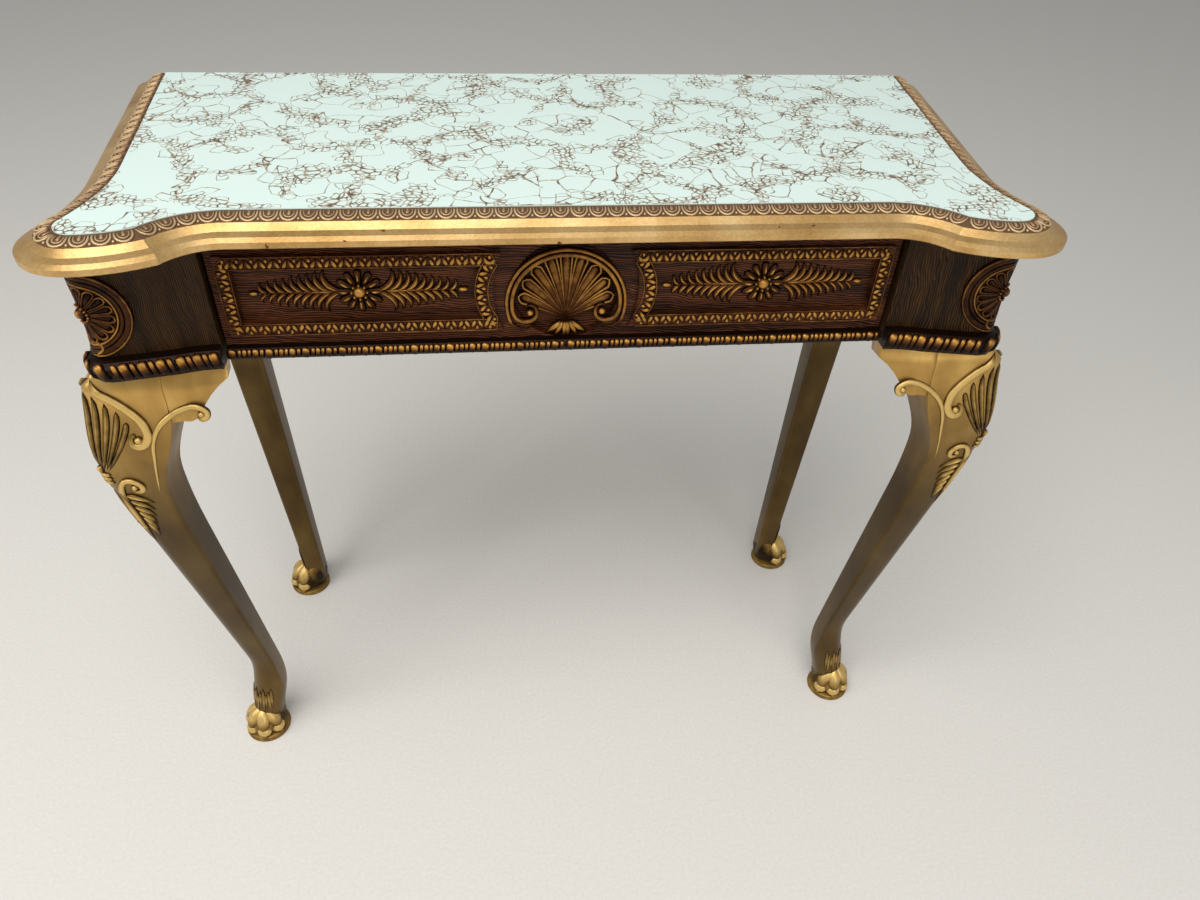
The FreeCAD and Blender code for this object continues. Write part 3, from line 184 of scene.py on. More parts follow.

# %% [markdown]
# The carving is bronze-brown in its hollows, where wax and dust have settled, and gold on its
# crests, where cloths have rubbed it. The layer of rubbing and highlight on each carved piece says
# how far a point stands out; on the gadroon beans and the paw toes it also favours the upper side,
# a painted highlight of light from above. A little noise breaks the edge between brown and gold.
# CAD pieces have no such layer and read as hollow, so they become the dark ground of the carving.
# %% Carving gilt


def carving_finish(name, hollow, middle, crest, metal):
    finish, tree, place = start_finish(name)
    rub_and_highlight = add(tree, "Attribute", attribute_name="rub_and_highlight").outputs["Fac"]
    fine = pattern(tree, "TexNoise", place, 9, {"Detail": 4.0})
    slow = pattern(tree, "TexNoise", place, 70, {"Detail": 2.0})
    shift = add(tree, "Math", {0: fine, 1: slow}, operation="ADD")
    wander = add(tree, "Math", {0: shift, 1: 0.5, 2: -0.5}, operation="MULTIPLY_ADD")
    level = add(tree, "Math", {0: rub_and_highlight, 1: wander}, operation="ADD")
    tone = add(tree, "ValToRGB", {"Fac": level}, stops=[(0.12, hollow), (0.5, middle), (0.9, crest)])
    end_finish(finish, {"Base Color": tone, "Metallic": metal, "Roughness": 0.4, "Specular IOR Level": 0.2})
    return finish


bronze_gilt = carving_finish("bronze_gilt", "#1b0c04", "#583210", "#bd8a40", 0.55)
strip_gilt = carving_finish("strip_bronze", "#6f543c", "#a3825f", "#cfb388", 0.35)
carved_gilt = carving_finish("carved_antique_gilt", "#2c1e0c", "#8d6e36", "#d4b26c", 0.6)

# %% [markdown]
# The legs are gilded too, over a darker ground and with more age, with soft long streaks that
# run down the leg. A ramp by height paints light into the colour: a painted highlight makes the
# knee and the wings bright brass-gold, as if lit from above, and below the knee the leg is dimmed
# to olive brown, partly its age and partly painted shade.
# %% Antique gilt
antique_gilt, tree, place = start_finish("antique_gilt")
long = add(tree, "Mapping", {"Vector": place, "Scale": (1, 1, 0.5)})
streaks = pattern(tree, "TexNoise", long, 36, {"Detail": 5.0})
tone = add(tree, "ValToRGB", {"Fac": streaks}, stops=[(0.3, "#9c7d46"), (0.52, "#bd9a58"), (0.75, "#dcbc74")])
height = add(tree, "SeparateXYZ", {"Vector": place}).outputs["Z"]
# The height ramp is painted light: a painted highlight on the knee and wings, painted shade on the lower leg
# mixed with its age.
age_and_painted_light = add(tree, "ValToRGB", {"Fac": height}, stops=[
    (0.05, "#938c7c"), (0.2, "#726c5b"), (0.42, "#726c5b"), (0.54, "#d1c9bd"), (0.58, "#fff6e8")])
aged_and_painted_light = add(tree, "Mix", {"Factor": 1.0, "A": tone, "B": age_and_painted_light}, data_type="RGBA", blend_type="MULTIPLY")
end_finish(antique_gilt, {"Base Color": aged_and_painted_light, "Metallic": 0.75, "Roughness": 0.35})

# %% [markdown]
# Walnut under old dark polish, its ground combed into fine wavy lines with a toothed scraper.
# On the drawer front the lines run across; on the corner blocks they run upright. They are a
# wave pattern whose coordinates are squeezed along the grain, bent a little and broken up. The
# corner blocks and side aprons are darker still: their browns also carry painted shade, as under
# the moulding's overhang.
# %% Walnut
# Darkened browns for the corner blocks and side aprons: their dark polish plus painted shade.
SHADED_BLOCK_BROWNS = ("#0e0601", "#271605", "#452c0c")


def walnut(name, squeeze, pitch, dark, middle, pale):
    """Combed wood. The squeeze is smallest along the grain; the comb's pitch is in mm."""
    finish, tree, place = start_finish(name)
    long = add(tree, "Mapping", {"Vector": pushed(tree, place, 38, 4), "Scale": squeeze})
    comb = add(tree, "TexWave", {
        "Vector": long, "Scale": math.pi / 5 / (pitch * MM), "Distortion": 5.0, "Detail": 2.0},
        bands_direction="DIAGONAL").outputs["Fac"]
    cloud = pattern(tree, "TexNoise", long, 12, {"Detail": 3.0})
    both = add(tree, "Math", {0: comb, 1: 0.5, 2: cloud}, operation="MULTIPLY_ADD")
    tone = add(tree, "ValToRGB", {"Fac": both}, stops=[(0.45, dark), (0.75, middle), (1.0, pale)])
    dents = add(tree, "Bump", {"Height": comb, "Strength": 0.6, "Distance": 0.5 * MM})
    end_finish(finish, {"Base Color": tone, "Roughness": 0.5, "Specular IOR Level": 0.15, "Normal": dents})
    return finish


walnut_across = walnut("walnut_across", (0.06, 1, 1), 2.2, "#110603", "#33170a", "#653719")
walnut_upright = walnut("walnut_upright", (1, 1, 0.06), 1.9, *SHADED_BLOCK_BROWNS)
walnut_deep = walnut("walnut_deep", (1, 0.06, 1), 1.9, *SHADED_BLOCK_BROWNS)

# %% [markdown]
# Everything out of sight is plain sawn wood, pale and dull, and the screws are turned steel
# with a grey glint. Each CAD piece then gets the finish that its name calls for.
# %% Plain wood and steel
plain_wood = walnut("plain_wood", (0.06, 1, 1), 5, "#79593a", "#8c6a46", "#9d7c53")
screw_steel, tree, place = start_finish("screw_steel")
speck = pattern(tree, "TexNoise", place, 1.5, {"Detail": 2.0})
tone = add(tree, "ValToRGB", {"Fac": speck}, stops=[(0.3, "#6d6c69"), (0.7, "#93918c")])
end_finish(screw_steel, {"Base Color": tone, "Metallic": 1.0, "Roughness": 0.35})

NODE_FINISH = [
    ("glass", veined_mirror), ("moulding", light_gilt), ("leaf", strip_gilt), ("top_screws", screw_steel),
    (("front_leg", "back_leg", "front_wing", "side_wing"), antique_gilt),
    (("patera", "block_g", "side_g", "drawer_g", "rosette", "shell"), bronze_gilt),
    ("corner", walnut_upright), ("side_apron", walnut_deep), (("drawer_front", "panel"), walnut_across),
]
for name, node in nodes.items():
    finish = next((made for start, made in NODE_FINISH if name.startswith(start)), plain_wood)
    node.data.materials.clear()
    node.data.materials.append(finish)
print("finishes on", len(nodes), "CAD pieces")

# %% [markdown]
# Nearly all of the ornament is made of one thing: a rounded ridge that follows a line on a
# surface, as a carver leaves it between two cuts of the gouge. Displacing a dense mesh could
# do it too, but a ridge of its own stays crisp with few faces. A flat grid is created, rolled
# round the line into a tube that sinks half into the wood, and swelled or pinched on its way.
# The layer of rubbing and highlight keeps how far each point stands out, and the finishes read it,
# because the real carving is dark in its hollows and rubbed gold on its crests; on the gadroons and
# the paw toes it also holds a painted highlight on the upper side.
# %% Ridges and beads
STEP = 0.05


def start_shape():
    shape = bmesh.new()
    shape.verts.layers.float.new("rub_and_highlight")
    return shape


def facing(surface, u, v):
    """The direction away from a surface, found from two short steps on it."""
    along = surface(u + STEP, v) - surface(u - STEP, v)
    up = surface(u, v + STEP) - surface(u, v - STEP)
    return along.cross(up).normalized()


def ridge(shape, surface, line, wide, high, swell, sides=6, square=1.0, bright=1.0):
    """A tube along a line. From end to end, swell gives its size and bright how much rubbed gold it gets, on
    the gadroons with a painted highlight mixed in.
    """
    rub_and_highlight = shape.verts.layers.float["rub_and_highlight"]
    spots = [surface(*place) for place in line]
    outs = [facing(surface, *place) for place in line]
    last = len(line) - 1
    made = bmesh.ops.create_grid(shape, x_segments=sides, y_segments=last, size=0.5)["verts"]
    for point in made:
        k = round((point.co.y + 0.5) * last)
        turn = 2 * math.pi * (point.co.x + 0.5)
        side, rise = [math.copysign(abs(x) ** square, x) for x in (math.cos(turn), math.sin(turn))]
        across = (spots[min(k + 1, last)] - spots[max(k - 1, 0)]).cross(outs[k]).normalized()
        size = swell(k / last)
        shine = bright(k / last) if callable(bright) else bright
        point[rub_and_highlight] = max(0, rise) * min(1, size) * shine
        point.co = spots[k] + across * (wide * size * side) + outs[k] * (high * size * rise)


def bead(shape, surface, place, wide, tall, high, bright=1.0):
    """Half a ball set into a surface."""
    rub_and_highlight = shape.verts.layers.float["rub_and_highlight"]
    here, out = surface(*place), facing(surface, *place)
    across = (surface(place[0] + STEP, place[1]) - here).normalized()
    up = out.cross(across)
    made = bmesh.ops.create_uvsphere(shape, u_segments=10, v_segments=6, radius=1)["verts"]
    for point in made:
        point[rub_and_highlight] = bright * max(0, point.co.z)
    turn = Matrix((across * wide, up * tall, out * high)).transposed().to_4x4()
    bmesh.ops.transform(shape, matrix=Matrix.Translation(here) @ turn, verts=made)


print("ridges and beads can be laid on any surface")

# %% [markdown]
# A finished shape is welded, scaled from millimetres to metres and handed over as a piece that
# rides on the table or on the drawer. Some pieces stand for a plainer CAD piece, which is then
# hidden. What is on the right is on the left too, so most shapes are ended as a pair.
# %% Pieces
WELD = 0.002


def end_piece(shape, name, body, finish, stands_for=(), mirrored=False):
    bmesh.ops.remove_doubles(shape, verts=shape.verts[:], dist=WELD)
    size = MM * (-1 if mirrored else 1)
    bmesh.ops.scale(shape, vec=(size, MM, MM), verts=shape.verts[:])
    bmesh.ops.dissolve_degenerate(shape, edges=shape.edges[:], dist=1e-7)
    bmesh.ops.recalc_face_normals(shape, faces=shape.faces[:])
    for face in shape.faces:
        face.smooth = True
    mesh = bpy.data.meshes.new(name)
    shape.to_mesh(mesh)
    shape.free()
    mesh.materials.append(finish)
    piece = bpy.data.objects.new(name, mesh)
    bpy.context.scene.collection.objects.link(piece)
    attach(piece, body)
    if stands_for:
        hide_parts(*stands_for)
    print(name, "has", len(mesh.polygons), "faces")


def end_pair(shape, name, body, finish, stands_for=()):
    """A right-hand piece and its mirror image."""
    other = shape.copy()
    for side, form in (("_right", shape), ("_left", other)):
        hidden = [node + side for node in stands_for]
        end_piece(form, name + side, body, finish, hidden, side == "_left")


print("pieces are welded within", WELD, "mm")

# %% [markdown]
# The top's edge, the blocks and the panel frames all follow lines made of arcs and straights,
# the same as in the CAD model. A walk along such a line gives, at any distance in millimetres,
# the point there and the direction that points away from the piece.
# %% Walks along the edges


def polar(centre, radius, angle):
    turn = math.radians(angle)
    return (centre[0] + radius * math.cos(turn), centre[1] + radius * math.sin(turn))


def bearing(start, end):
    return math.degrees(math.atan2(end[1] - start[1], end[0] - start[0]))


def spoke_at(turn):
    return Vector((math.cos(turn), math.sin(turn)))


def walk(path):
    """The length of a path and a function for its points. A straight is a start and an end; an
    arc is a centre, a radius, a first angle and a last angle."""
    lengths = []
    for leg in path:
        if len(leg) == 2:
            lengths.append(math.dist(*leg))
        else:
            lengths.append(leg[1] * math.radians(abs(leg[3] - leg[2])))

    def at(distance):
        number = 0
        while number < len(path) - 1 and distance > lengths[number]:
            distance -= lengths[number]
            number += 1
        leg, share = path[number], distance / lengths[number]
        if len(leg) == 2:
            here = Vector(leg[0]).lerp(Vector(leg[1]), share)
            ahead = (Vector(leg[1]) - Vector(leg[0])).normalized()
        else:
            spoke = spoke_at(math.radians(leg[2] + (leg[3] - leg[2]) * share))
            here = Vector(leg[0]) + spoke * leg[1]
            ahead = Vector((-spoke.y, spoke.x)) * (1 if leg[3] > leg[2] else -1)
        return here, Vector((ahead.y, -ahead.x))

    return sum(lengths), at


LOBE, LOBE_R, FLARE = (370, -144), 46, 25
WAIST_R = 165
WAIST = polar(LOBE, LOBE_R + WAIST_R, FLARE)
BROW, BROW_R = (370, -61.875), 128.125
COVE, COVE_R = (266, -203.09), 51.09
STRAIGHT, BACK_CORNER = -152, (417, 190)
SIDE_ANGLE = bearing(WAIST, BACK_CORNER) + math.degrees(math.acos(WAIST_R / math.dist(WAIST, BACK_CORNER)))


def cusp(inset):
    """Where the brow's arc meets the cove's, at a distance inside the nose line."""
    near, far = BROW_R - inset, COVE_R + inset
    span = math.dist(BROW, COVE)
    along = (span ** 2 + near ** 2 - far ** 2) / (2 * span)
    ahead = (Vector(COVE) - Vector(BROW)) / span
    side = Vector((-ahead.y, ahead.x)) * math.sqrt(near ** 2 - along ** 2)
    return Vector(BROW) + ahead * along + side


def front_edge(inset):
    """Middle of the front to the cusp."""
    y = STRAIGHT + inset
    return [((0, y), (COVE[0], y)), (COVE, COVE_R + inset, 90, bearing(COVE, cusp(inset)))]


def side_edge(inset):
    """Cusp, round the lobe and along the side to the back."""
    touch = polar(WAIST, WAIST_R + inset, SIDE_ANGLE)
    lean = math.tan(math.radians(SIDE_ANGLE) + math.pi / 2)
    corner = (touch[0] + (BACK_CORNER[1] - touch[1]) / lean, BACK_CORNER[1])
    return [
        (BROW, BROW_R - inset, bearing(BROW, cusp(inset)), -90),
        (LOBE, LOBE_R - inset, -90, FLARE),
        (WAIST, WAIST_R + inset, FLARE + 180, SIDE_ANGLE),
        (touch, corner),
    ]


print("front edge", round(walk(front_edge(0))[0]), "mm, side edge", round(walk(side_edge(0))[0]), "mm")

# %% [markdown]
# The strip between glass and gilding is carved with tongues: a raised rim bent like a U, a
# lower rim and a tongue inside it, and a small bead in each gap. The CAD strip stays as the
# ground, and the tongues are laid on its slope about 15 mm apart, so they turn with the lobes.
# %% Leaf strip
STRIP_MIDDLE, STRIP_Z, STRIP_LEAN, STRIP_CROWN, STRIP_HALF = 23, 757.2, 0.26, 1.1, 7
TONGUE_PITCH, TONGUE_ROOT = 15, 6.6


def around(centre, radius, start, end, count):
    return [polar(centre, radius, start + (end - start) * k / count) for k in range(count + 1)]


def blunt(t):
    return math.sqrt(max(0, 1 - abs(2 * t - 1) ** 5))


def petal(t):
    return (0.3 + 0.7 * t) * math.sqrt(max(0, 1 - max(0, t * 1.25 - 0.25) ** 4)) * min(1, t * 8)


def tongues(shape, path, first):
    length, at = walk(path)
    count = round((length - first) / TONGUE_PITCH)
    pitch = (length - first) / count

    def slope(u, v):
        here, out = at(u)
        spot = here - out * v
        crown = STRIP_CROWN * (1 - (v / STRIP_HALF) ** 2)
        return Vector((spot.x, spot.y, STRIP_Z + STRIP_LEAN * v + crown))

    rims = ((pitch * 0.42, 0.2, 8, 1.1, 1.6, 1.0), (pitch * 0.42 - 2.3, 0.8, 6, 0.7, 1.1, 0.8))
    for k in range(count):
        u = first + pitch * (k + 0.5)
        for half, middle, steps, wide, high, bright in rims:
            rim = [(u - half, TONGUE_ROOT), (u - half, 3), *around((u, middle), half, 180, 360, steps),
                   (u + half, 3), (u + half, TONGUE_ROOT)]
            ridge(shape, slope, rim, wide, high, blunt, bright=bright)
        ridge(shape, slope, [(u, TONGUE_ROOT - step * 1.7) for step in range(6)], 2.2, 1.2, petal)
        if k < count - 1:
            bead(shape, slope, (u + pitch / 2, -4.6), 1.2, 1.5, 1.4)


shape = start_shape()
tongues(shape, side_edge(STRIP_MIDDLE), 2)
end_pair(shape, "leaf_tongues", "table", strip_gilt)
shape = start_shape()
tongues(shape, front_edge(STRIP_MIDDLE), 0)
copied = bmesh.ops.duplicate(shape, geom=shape.verts[:] + shape.edges[:] + shape.faces[:])["geom"]
twins = [part for part in copied if isinstance(part, bmesh.types.BMVert)]
bmesh.ops.scale(shape, vec=(-1, 1, 1), verts=twins)
end_piece(shape, "leaf_tongues_front", "table", strip_gilt)

# %% [markdown]
# Gadroons are the bean-shaped bulges under the blocks, the sides and the drawer. Each bean is
# a ridge that climbs over the nose of the moulding, set a little aslant so that the row looks
# like a twisted rope. Broad and narrow beans take turns, as on the real moulding.
# %% Gadroons
LEG_TOP, DRAWER_FOOT, FACE = 612, 615, -110
BLOCK_INNER, SEAM, CORNER, CORNER_R = (300, -118), (337, -124), (388, -121), 12
BLOCK_INSET, BLOCK_BACK, POST_FRONT, DRAWER_HALF = 18, -50, 144, 297
BLOCK_BEANS, DRAWER_BEANS = (4.8, 2.5), (4.2, 1.9, 2.4, 1.8, 3.4, 2.0)


def beans(shape, path, section, foot, halves, slant, high):
    """Beans of these half widths in turn along a path, on a moulding of this section."""
    length, at = walk(path)

    def nose(u, v):
        place = min(max(v, 0), 1) * (len(section) - 1)
        k = min(int(place), len(section) - 2)
        reach, rise = Vector(section[k]).lerp(Vector(section[k + 1]), place - k)
        here, out = at(u)
        spot = here + out * reach
        return Vector((spot.x, spot.y, foot + rise))

    u = 0
    for half in itertools.cycle(halves):
        if u + 2 * half > length:
            break
        line = [(u + half + slant * (k / 6 - 0.5), 0.03 + 0.77 * k / 6) for k in range(7)]
        # The gold peaks on the upper part of each bean: real rubbing on the crest plus a painted highlight of
        # light from above.
        ridge(shape, nose, line, half * 1.04, high * (0.7 + half * 0.1), blunt,
              bright=lambda t: max(0, 1.12 - abs(t - 0.68) * 3))
        u += 2 * half


def nose_section(reach, height):
    steps = [(0.7, 0), (0.9, 0.22), (1, 0.45), (1, 0.7), (0.85, 0.82), (0.62, 0.9), (0.3, 0.95)]
    return [(reach * out, height * up) for out, up in steps]


side_length, side_line = walk(side_edge(BLOCK_INSET))


def side_point(y, start, end):
    """The point of the side's line nearest to a depth, between two distances along the line."""
    return tuple(min((side_line(k / 4)[0] for k in range(4 * start, 4 * end)), key=lambda p: abs(p.y - y)))


def touching(point, way):
    """The angle at which a line from the point touches the block's rounded corner."""
    return bearing(CORNER, point) + way * math.degrees(math.acos(CORNER_R / math.dist(CORNER, point)))


width, sag = SEAM[0] - BLOCK_INNER[0], BLOCK_INNER[1] - SEAM[1]
hollow_r = (width ** 2 + sag ** 2) / (2 * sag)
hollow = (BLOCK_INNER[0], BLOCK_INNER[1] - hollow_r)
block_side = side_point(BLOCK_BACK, 100, 350)
post_front = side_point(POST_FRONT, 250, int(side_length))
front_turn, side_turn = touching(SEAM, 1), touching(block_side, -1)
block_edge = [
    (hollow, hollow_r, 90, bearing(hollow, SEAM)),
    (SEAM, polar(CORNER, CORNER_R, front_turn)),
    (CORNER, CORNER_R, front_turn, side_turn),
    (polar(CORNER, CORNER_R, side_turn), block_side),
]
shape = start_shape()
for path in (block_edge, [(block_side, post_front)]):
    beans(shape, path, nose_section(11, 21), LEG_TOP, BLOCK_BEANS, 5, 2.2)
end_pair(shape, "gadroon_beans", "table", bronze_gilt)

shape = start_shape()
for start in (0, -DRAWER_HALF):
    half_front = [((start, FACE), (start + DRAWER_HALF, FACE))]
    beans(shape, half_front, nose_section(8, 12), DRAWER_FOOT, DRAWER_BEANS, 2.5, 1.8)
end_piece(shape, "drawer_beans", "drawer", bronze_gilt)

# %% [markdown]
# Each panel has a frame of small leaves laid in pairs, like the letter V, between two thin
# fillets. The frame's line is walked once round, and the pairs are set about 11 mm apart with
# their tips towards the panel, as on the real drawer front.
# %% Panel borders
FRAME_RISE, BORDER, LEAF_PITCH = 4, 12, 11.5


def leaf(t):
    return math.sin(math.pi * t ** 0.75) ** 0.8 if 0 < t < 1 else 0


def even(t):
    return 1


def sweep_of(points, count):
    """A smooth line that starts at the first point, leans towards the others and ends at the last."""
    line = []
    for k in range(count + 1):
        left = [Vector(point) for point in points]
        while len(left) > 1:
            left = [a.lerp(b, k / count) for a, b in zip(left, left[1:])]
        line.append(left[0])
    return line


def border(shape, path, width):
    length, at = walk(path)

    def strip(u, v):
        here, out = at(u % length)
        spot = here - out * v
        return Vector((spot.x, FACE - FRAME_RISE, spot.y))

    count = round(length / LEAF_PITCH)
    for k in range(count):
        u = length * (k + 0.5) / count
        for way in (-1, 1):
            line = [(u + way * x, width * y) for x, y in ((0.6, 0.4), (3.2, 0.2), (5.4, -0.36))]
            ridge(shape, strip, sweep_of(line, 6), 2.1, 2.3, leaf)
        ridge(shape, strip, sweep_of([(u, -width * 0.4), (u, width * 0.1)], 4), 1.7, 2.0, leaf)
    for v in (-width * 0.46, width * 0.46):
        fillet = [(length * k / 96, v) for k in range(97)]
        ridge(shape, strip, fillet, 0.7, 1.1, even, bright=0.6)


inset, bulge = BORDER / 2, 12
low, high, outer, inner = 637.5 + inset, 714 - inset, 291 - inset, 56 + inset
arc_r = ((high - low) / 2) ** 2 / (2 * bulge) + bulge / 2
arc_middle = (inner + bulge - arc_r, (low + high) / 2)
half_turn = math.degrees(math.asin((high - low) / 2 / arc_r))
panel_line = [
    ((inner, low), (outer, low)),
    ((outer, low), (outer, high)),
    ((outer, high), (inner, high)),
    (arc_middle, arc_r, half_turn, -half_turn),
]
shape = start_shape()
border(shape, panel_line, BORDER)
end_pair(shape, "panel_leaves", "drawer", bronze_gilt)

# %% [markdown]
# In each panel a rosette of narrow petals sits between two branches of curled leaflets. The
# leaflets start at a stem and bend outwards and up, each one shorter than the last, with a
# ridge along the back of the leaf where the gilding is rubbed bright.
# %% Rosette sprays
ROSETTE = Vector((177.5, 676))
STEM = (14, 40, 65, 92)
LEAFLET = ((0, 0.4), (8, 1.5), (14.5, 7), (15, 14.5), (11, 18.5))


def flat_at(depth):
    return lambda u, v: Vector((u, depth, v))


def tail(t):
    return (1 - 0.75 * t) * min(1, t * 6, (1 - t) * 6)


sunk = flat_at(FACE + FRAME_RISE)
shape = start_shape()
for k in range(12):
    spoke = spoke_at(k * math.pi / 6)
    broad, crest = [[ROSETTE + spoke * far for far in ends] for ends in ((4, 21.5), (8, 20.6))]
    ridge(shape, sunk, sweep_of(broad, 8), 5.0, 4.6, petal, bright=0.6)
    ridge(shape, sunk, sweep_of(crest, 5), 1.1, 5.8, leaf)
bead(shape, sunk, ROSETTE, 6.2, 6.2, 7.2)
for k in range(8):
    bead(shape, sunk, ROSETTE + spoke_at(k * math.pi / 4) * 6.6, 1.5, 1.5, 5.6)
for way in (-1, 1):
    stem = [ROSETTE + Vector((way * far, 0)) for far in STEM]
    ridge(shape, sunk, sweep_of(stem, 12), 1.8, 3.6, tail)
    for k in range(9):
        root, size = ROSETTE + Vector((way * (14 + k * 7.6), 0)), 1.16 - 0.075 * k
        for up in (-1, 1):
            line = sweep_of([root + Vector((way * x * size, up * y * size)) for x, y in LEAFLET], 10)
            ridge(shape, sunk, line, 3.0 * size, 3.8, leaf, bright=0.6)
            ridge(shape, sunk, line, 1.0 * size, 5.2, leaf)
    bead(shape, sunk, ROSETTE + Vector((way * 88, 0)), 5.0, 2.2, 3.6)
end_pair(shape, "rosette_carving", "drawer", bronze_gilt, ("rosette_spray",))

# %% [markdown]
# The medallion in the middle is a scallop shell in a round recess. Each of its nine flutes is
# a rounded body in a rim that closes in a U at the tip.
# %% Shell
HUB = Vector((0, 643))
TIPS = [(0, 61), (13.5, 58), (26, 49), (34, 36.5), (37.5, 23)]
RECESS, SHELL_R, SHELL_CROWN = 7, 64, 4.5


def dish(u, v):
    far = min(1, math.hypot(u - HUB.x, v - HUB.y) / SHELL_R)
    return Vector((u, FACE + RECESS - SHELL_CROWN * math.sin(math.pi * far ** 0.8), v))


shape = start_shape()
for k in range(-4, 5):
    x, z = TIPS[abs(k)]
    tip = Vector((math.copysign(x, k), z))
    lean = Vector((tip.x * 0.42, tip.y * 0.58 + 2))
    line = sweep_of([HUB, HUB + lean, HUB + tip], 10)
    left, right = [], []
    for n, spot in enumerate(line):
        ahead = line[min(n + 1, 10)] - line[max(n - 1, 0)]
        side = Vector((-ahead.y, ahead.x)).normalized() * (0.9 + 4.3 * (n / 10) ** 1.1)
        left.append(spot + side)
        right.append(spot - side)
    top = line[-1] + (line[-1] - line[-2]).normalized() * 4.6
    flare = (left[-1] - right[-1]) * 0.1
    crown = [left[-1].lerp(top, 0.62) + flare, top, right[-1].lerp(top, 0.62) - flare]
    ridge(shape, dish, left + crown + right[::-1], 1.15, 3.9,
          lambda t: 0.5 + 0.5 * math.sin(math.pi * t), bright=0.85)
    ridge(shape, dish, line + [top], 6.2, 3.2, petal, 10, bright=lambda t: 0.7 + 0.2 * t)
end_piece(shape, "shell_flutes", "drawer", bronze_gilt, ("shell",))

# %% [markdown]
# A ring of two beads runs round the shell, and the lower ends of the inner bead curl inwards
# into volutes. A spray of petals grows below the shell's root.
# %% Shell ring and petals
RING, RING_RISE = (0, 662), 0.5
VOLUTE = [(45, 648.6), (39.6, 644.9), (33, 644.6), (27.6, 648), (25.9, 654), (28.4, 659.4),
          (33.4, 660.4), (36.4, 657), (35, 653.6)]
OUTER_END = [(43, 637.6), (36, 636), (30, 638)]


def through(points, steps):
    """A smooth line through every point."""
    points = [Vector(point) for point in points]
    ends = [points[0] * 2 - points[1]] + points + [points[-1] * 2 - points[-2]]
    line = []
    for a, b, c, d in zip(ends, ends[1:], ends[2:], ends[3:]):
        for k in range(steps):
            t = k / steps
            line.append(((b * 2) + (c - a) * t + (a * 2 - b * 5 + c * 4 - d) * t ** 2
                         + (b * 3 - a - c * 3 + d) * t ** 3) / 2)
    return line + [points[-1]]


def on_side(way, points):
    return [(way * u, v) for u, v in points]


def curled(t):
    return min(1, (1 - t) * 8)


shape = start_shape()
bed = flat_at(FACE - RING_RISE)
for way in (-1, 1):
    inner_bead = through(on_side(way, around(RING, 48, 90, -8, 26) + VOLUTE), 2)
    ridge(shape, bed, inner_bead, 2.3, 4.2, curled, bright=0.75)
    outer_bead = through(on_side(way, around(RING, 52.6, 90, -22, 28) + OUTER_END), 1)
    ridge(shape, bed, outer_bead, 1.9, 3.6, curled, bright=0.75)
    bead(shape, bed, (32 * way, 653.4), 3.6, 3.6, 4.6)
    for n in range(3):
        spray = [(0.6 + 1.4 * n, 644), (1.5 + 5 * n, 638), (2 + 8.5 * n, 625.5 + 1.32 * n * n)]
        line = sweep_of(on_side(way, spray), 8)
        ridge(shape, bed, line, 2.9, 4.6, leaf)
        ridge(shape, bed, line, 0.9, 5.6, leaf)
end_piece(shape, "shell_ring_carving", "drawer", bronze_gilt, ("shell_ring",))

# %% [markdown]
# A shell like the one on the drawer is wrapped round the rounded corner of each block. Its
# flutes start at a beaded boss on the corner, and a broad ring of four bands holds them.
# The lines are drawn on the flat and laid on the block's outline, so they bend with it.
# %% Corner paterae
BOSS = Vector((0, 674))
# radius, half width and height in mm, and how far each band is rubbed
BANDS = ((36.4, 3.8, 3.6, 0.28), (39, 0.9, 4.2, 0.7), (31.6, 2.0, 3.2, 0.3), (28.6, 1.1, 3.0, 0.8))
FLUTES, FLUTE_EDGE, FLUTE_TIP = 16, [(9, 1.0), (16, 2.4), (23, 3.6), (25.7, 2.4)], (26.6, 0)
FLUTE_RIM = FLUTE_EDGE + [FLUTE_TIP] + [(far, -half) for far, half in reversed(FLUTE_EDGE)]
FOOT_CURL = [(0, -38), (6, -36), (10, -31), (8, -26), (3.6, -26.4), (3.4, -30), (6, -31)]
block_at = walk(block_edge)[1]
to_corner = walk(block_edge[:2])[0] + walk(block_edge[2:3])[0] / 2


def on_block(u, v):
    here = block_at(to_corner + u)[0]
    return Vector((here.x, here.y, v))


shape = start_shape()
for radius, wide, high, rubbed in BANDS:
    ridge(shape, on_block, around(BOSS, radius, -90, 270, 44), wide, high, even, bright=rubbed)
for k in range(FLUTES):
    spoke = spoke_at(math.radians(-90 + 360 * (k + 0.5) / FLUTES))
    side = Vector((-spoke.y, spoke.x))
    rim = [BOSS + spoke * far + side * half for far, half in FLUTE_RIM]
    ridge(shape, on_block, rim, 1.1, 3.0, lambda t: 0.6 + 0.4 * math.sin(math.pi * t), bright=0.7)
    ridge(shape, on_block, sweep_of([BOSS + spoke * 9, BOSS + spoke * 25.6], 5), 3.9, 2.0, petal, bright=0.35)
    bead(shape, on_block, BOSS + spoke * 7.6, 1.5, 1.5, 3.6, 0.8)
bead(shape, on_block, BOSS, 5.4, 5.4, 6, 0.85)
for way in (-1, 1):
    line = through([(BOSS.x + x, BOSS.y + z) for x, z in on_side(way, FOOT_CURL)], 3)
    ridge(shape, on_block, line, 1.9, 5.2, tail)
end_pair(shape, "patera_carving", "table", bronze_gilt, ("patera",))

# %% [markdown]
# The front legs are cabriole legs set on the diagonal. They are bandsawn square from two
# sides and then rounded by hand with a spokeshave. Here the two sawn outlines, the same as in
# the CAD model but with a fuller neck, guide a ring of points with soft corners, and one ring
# after another from the knee to the ankle makes the skin.
# %% Front legs
KNEE_X, KNEE_Y, SOLE = 434, -140, 26
# of the 8 points at each corner of a leg, 7 steps go round the corner and 1 along the flat
CORNER_SHARE, LEG_POINTS = 8 / 7, 32


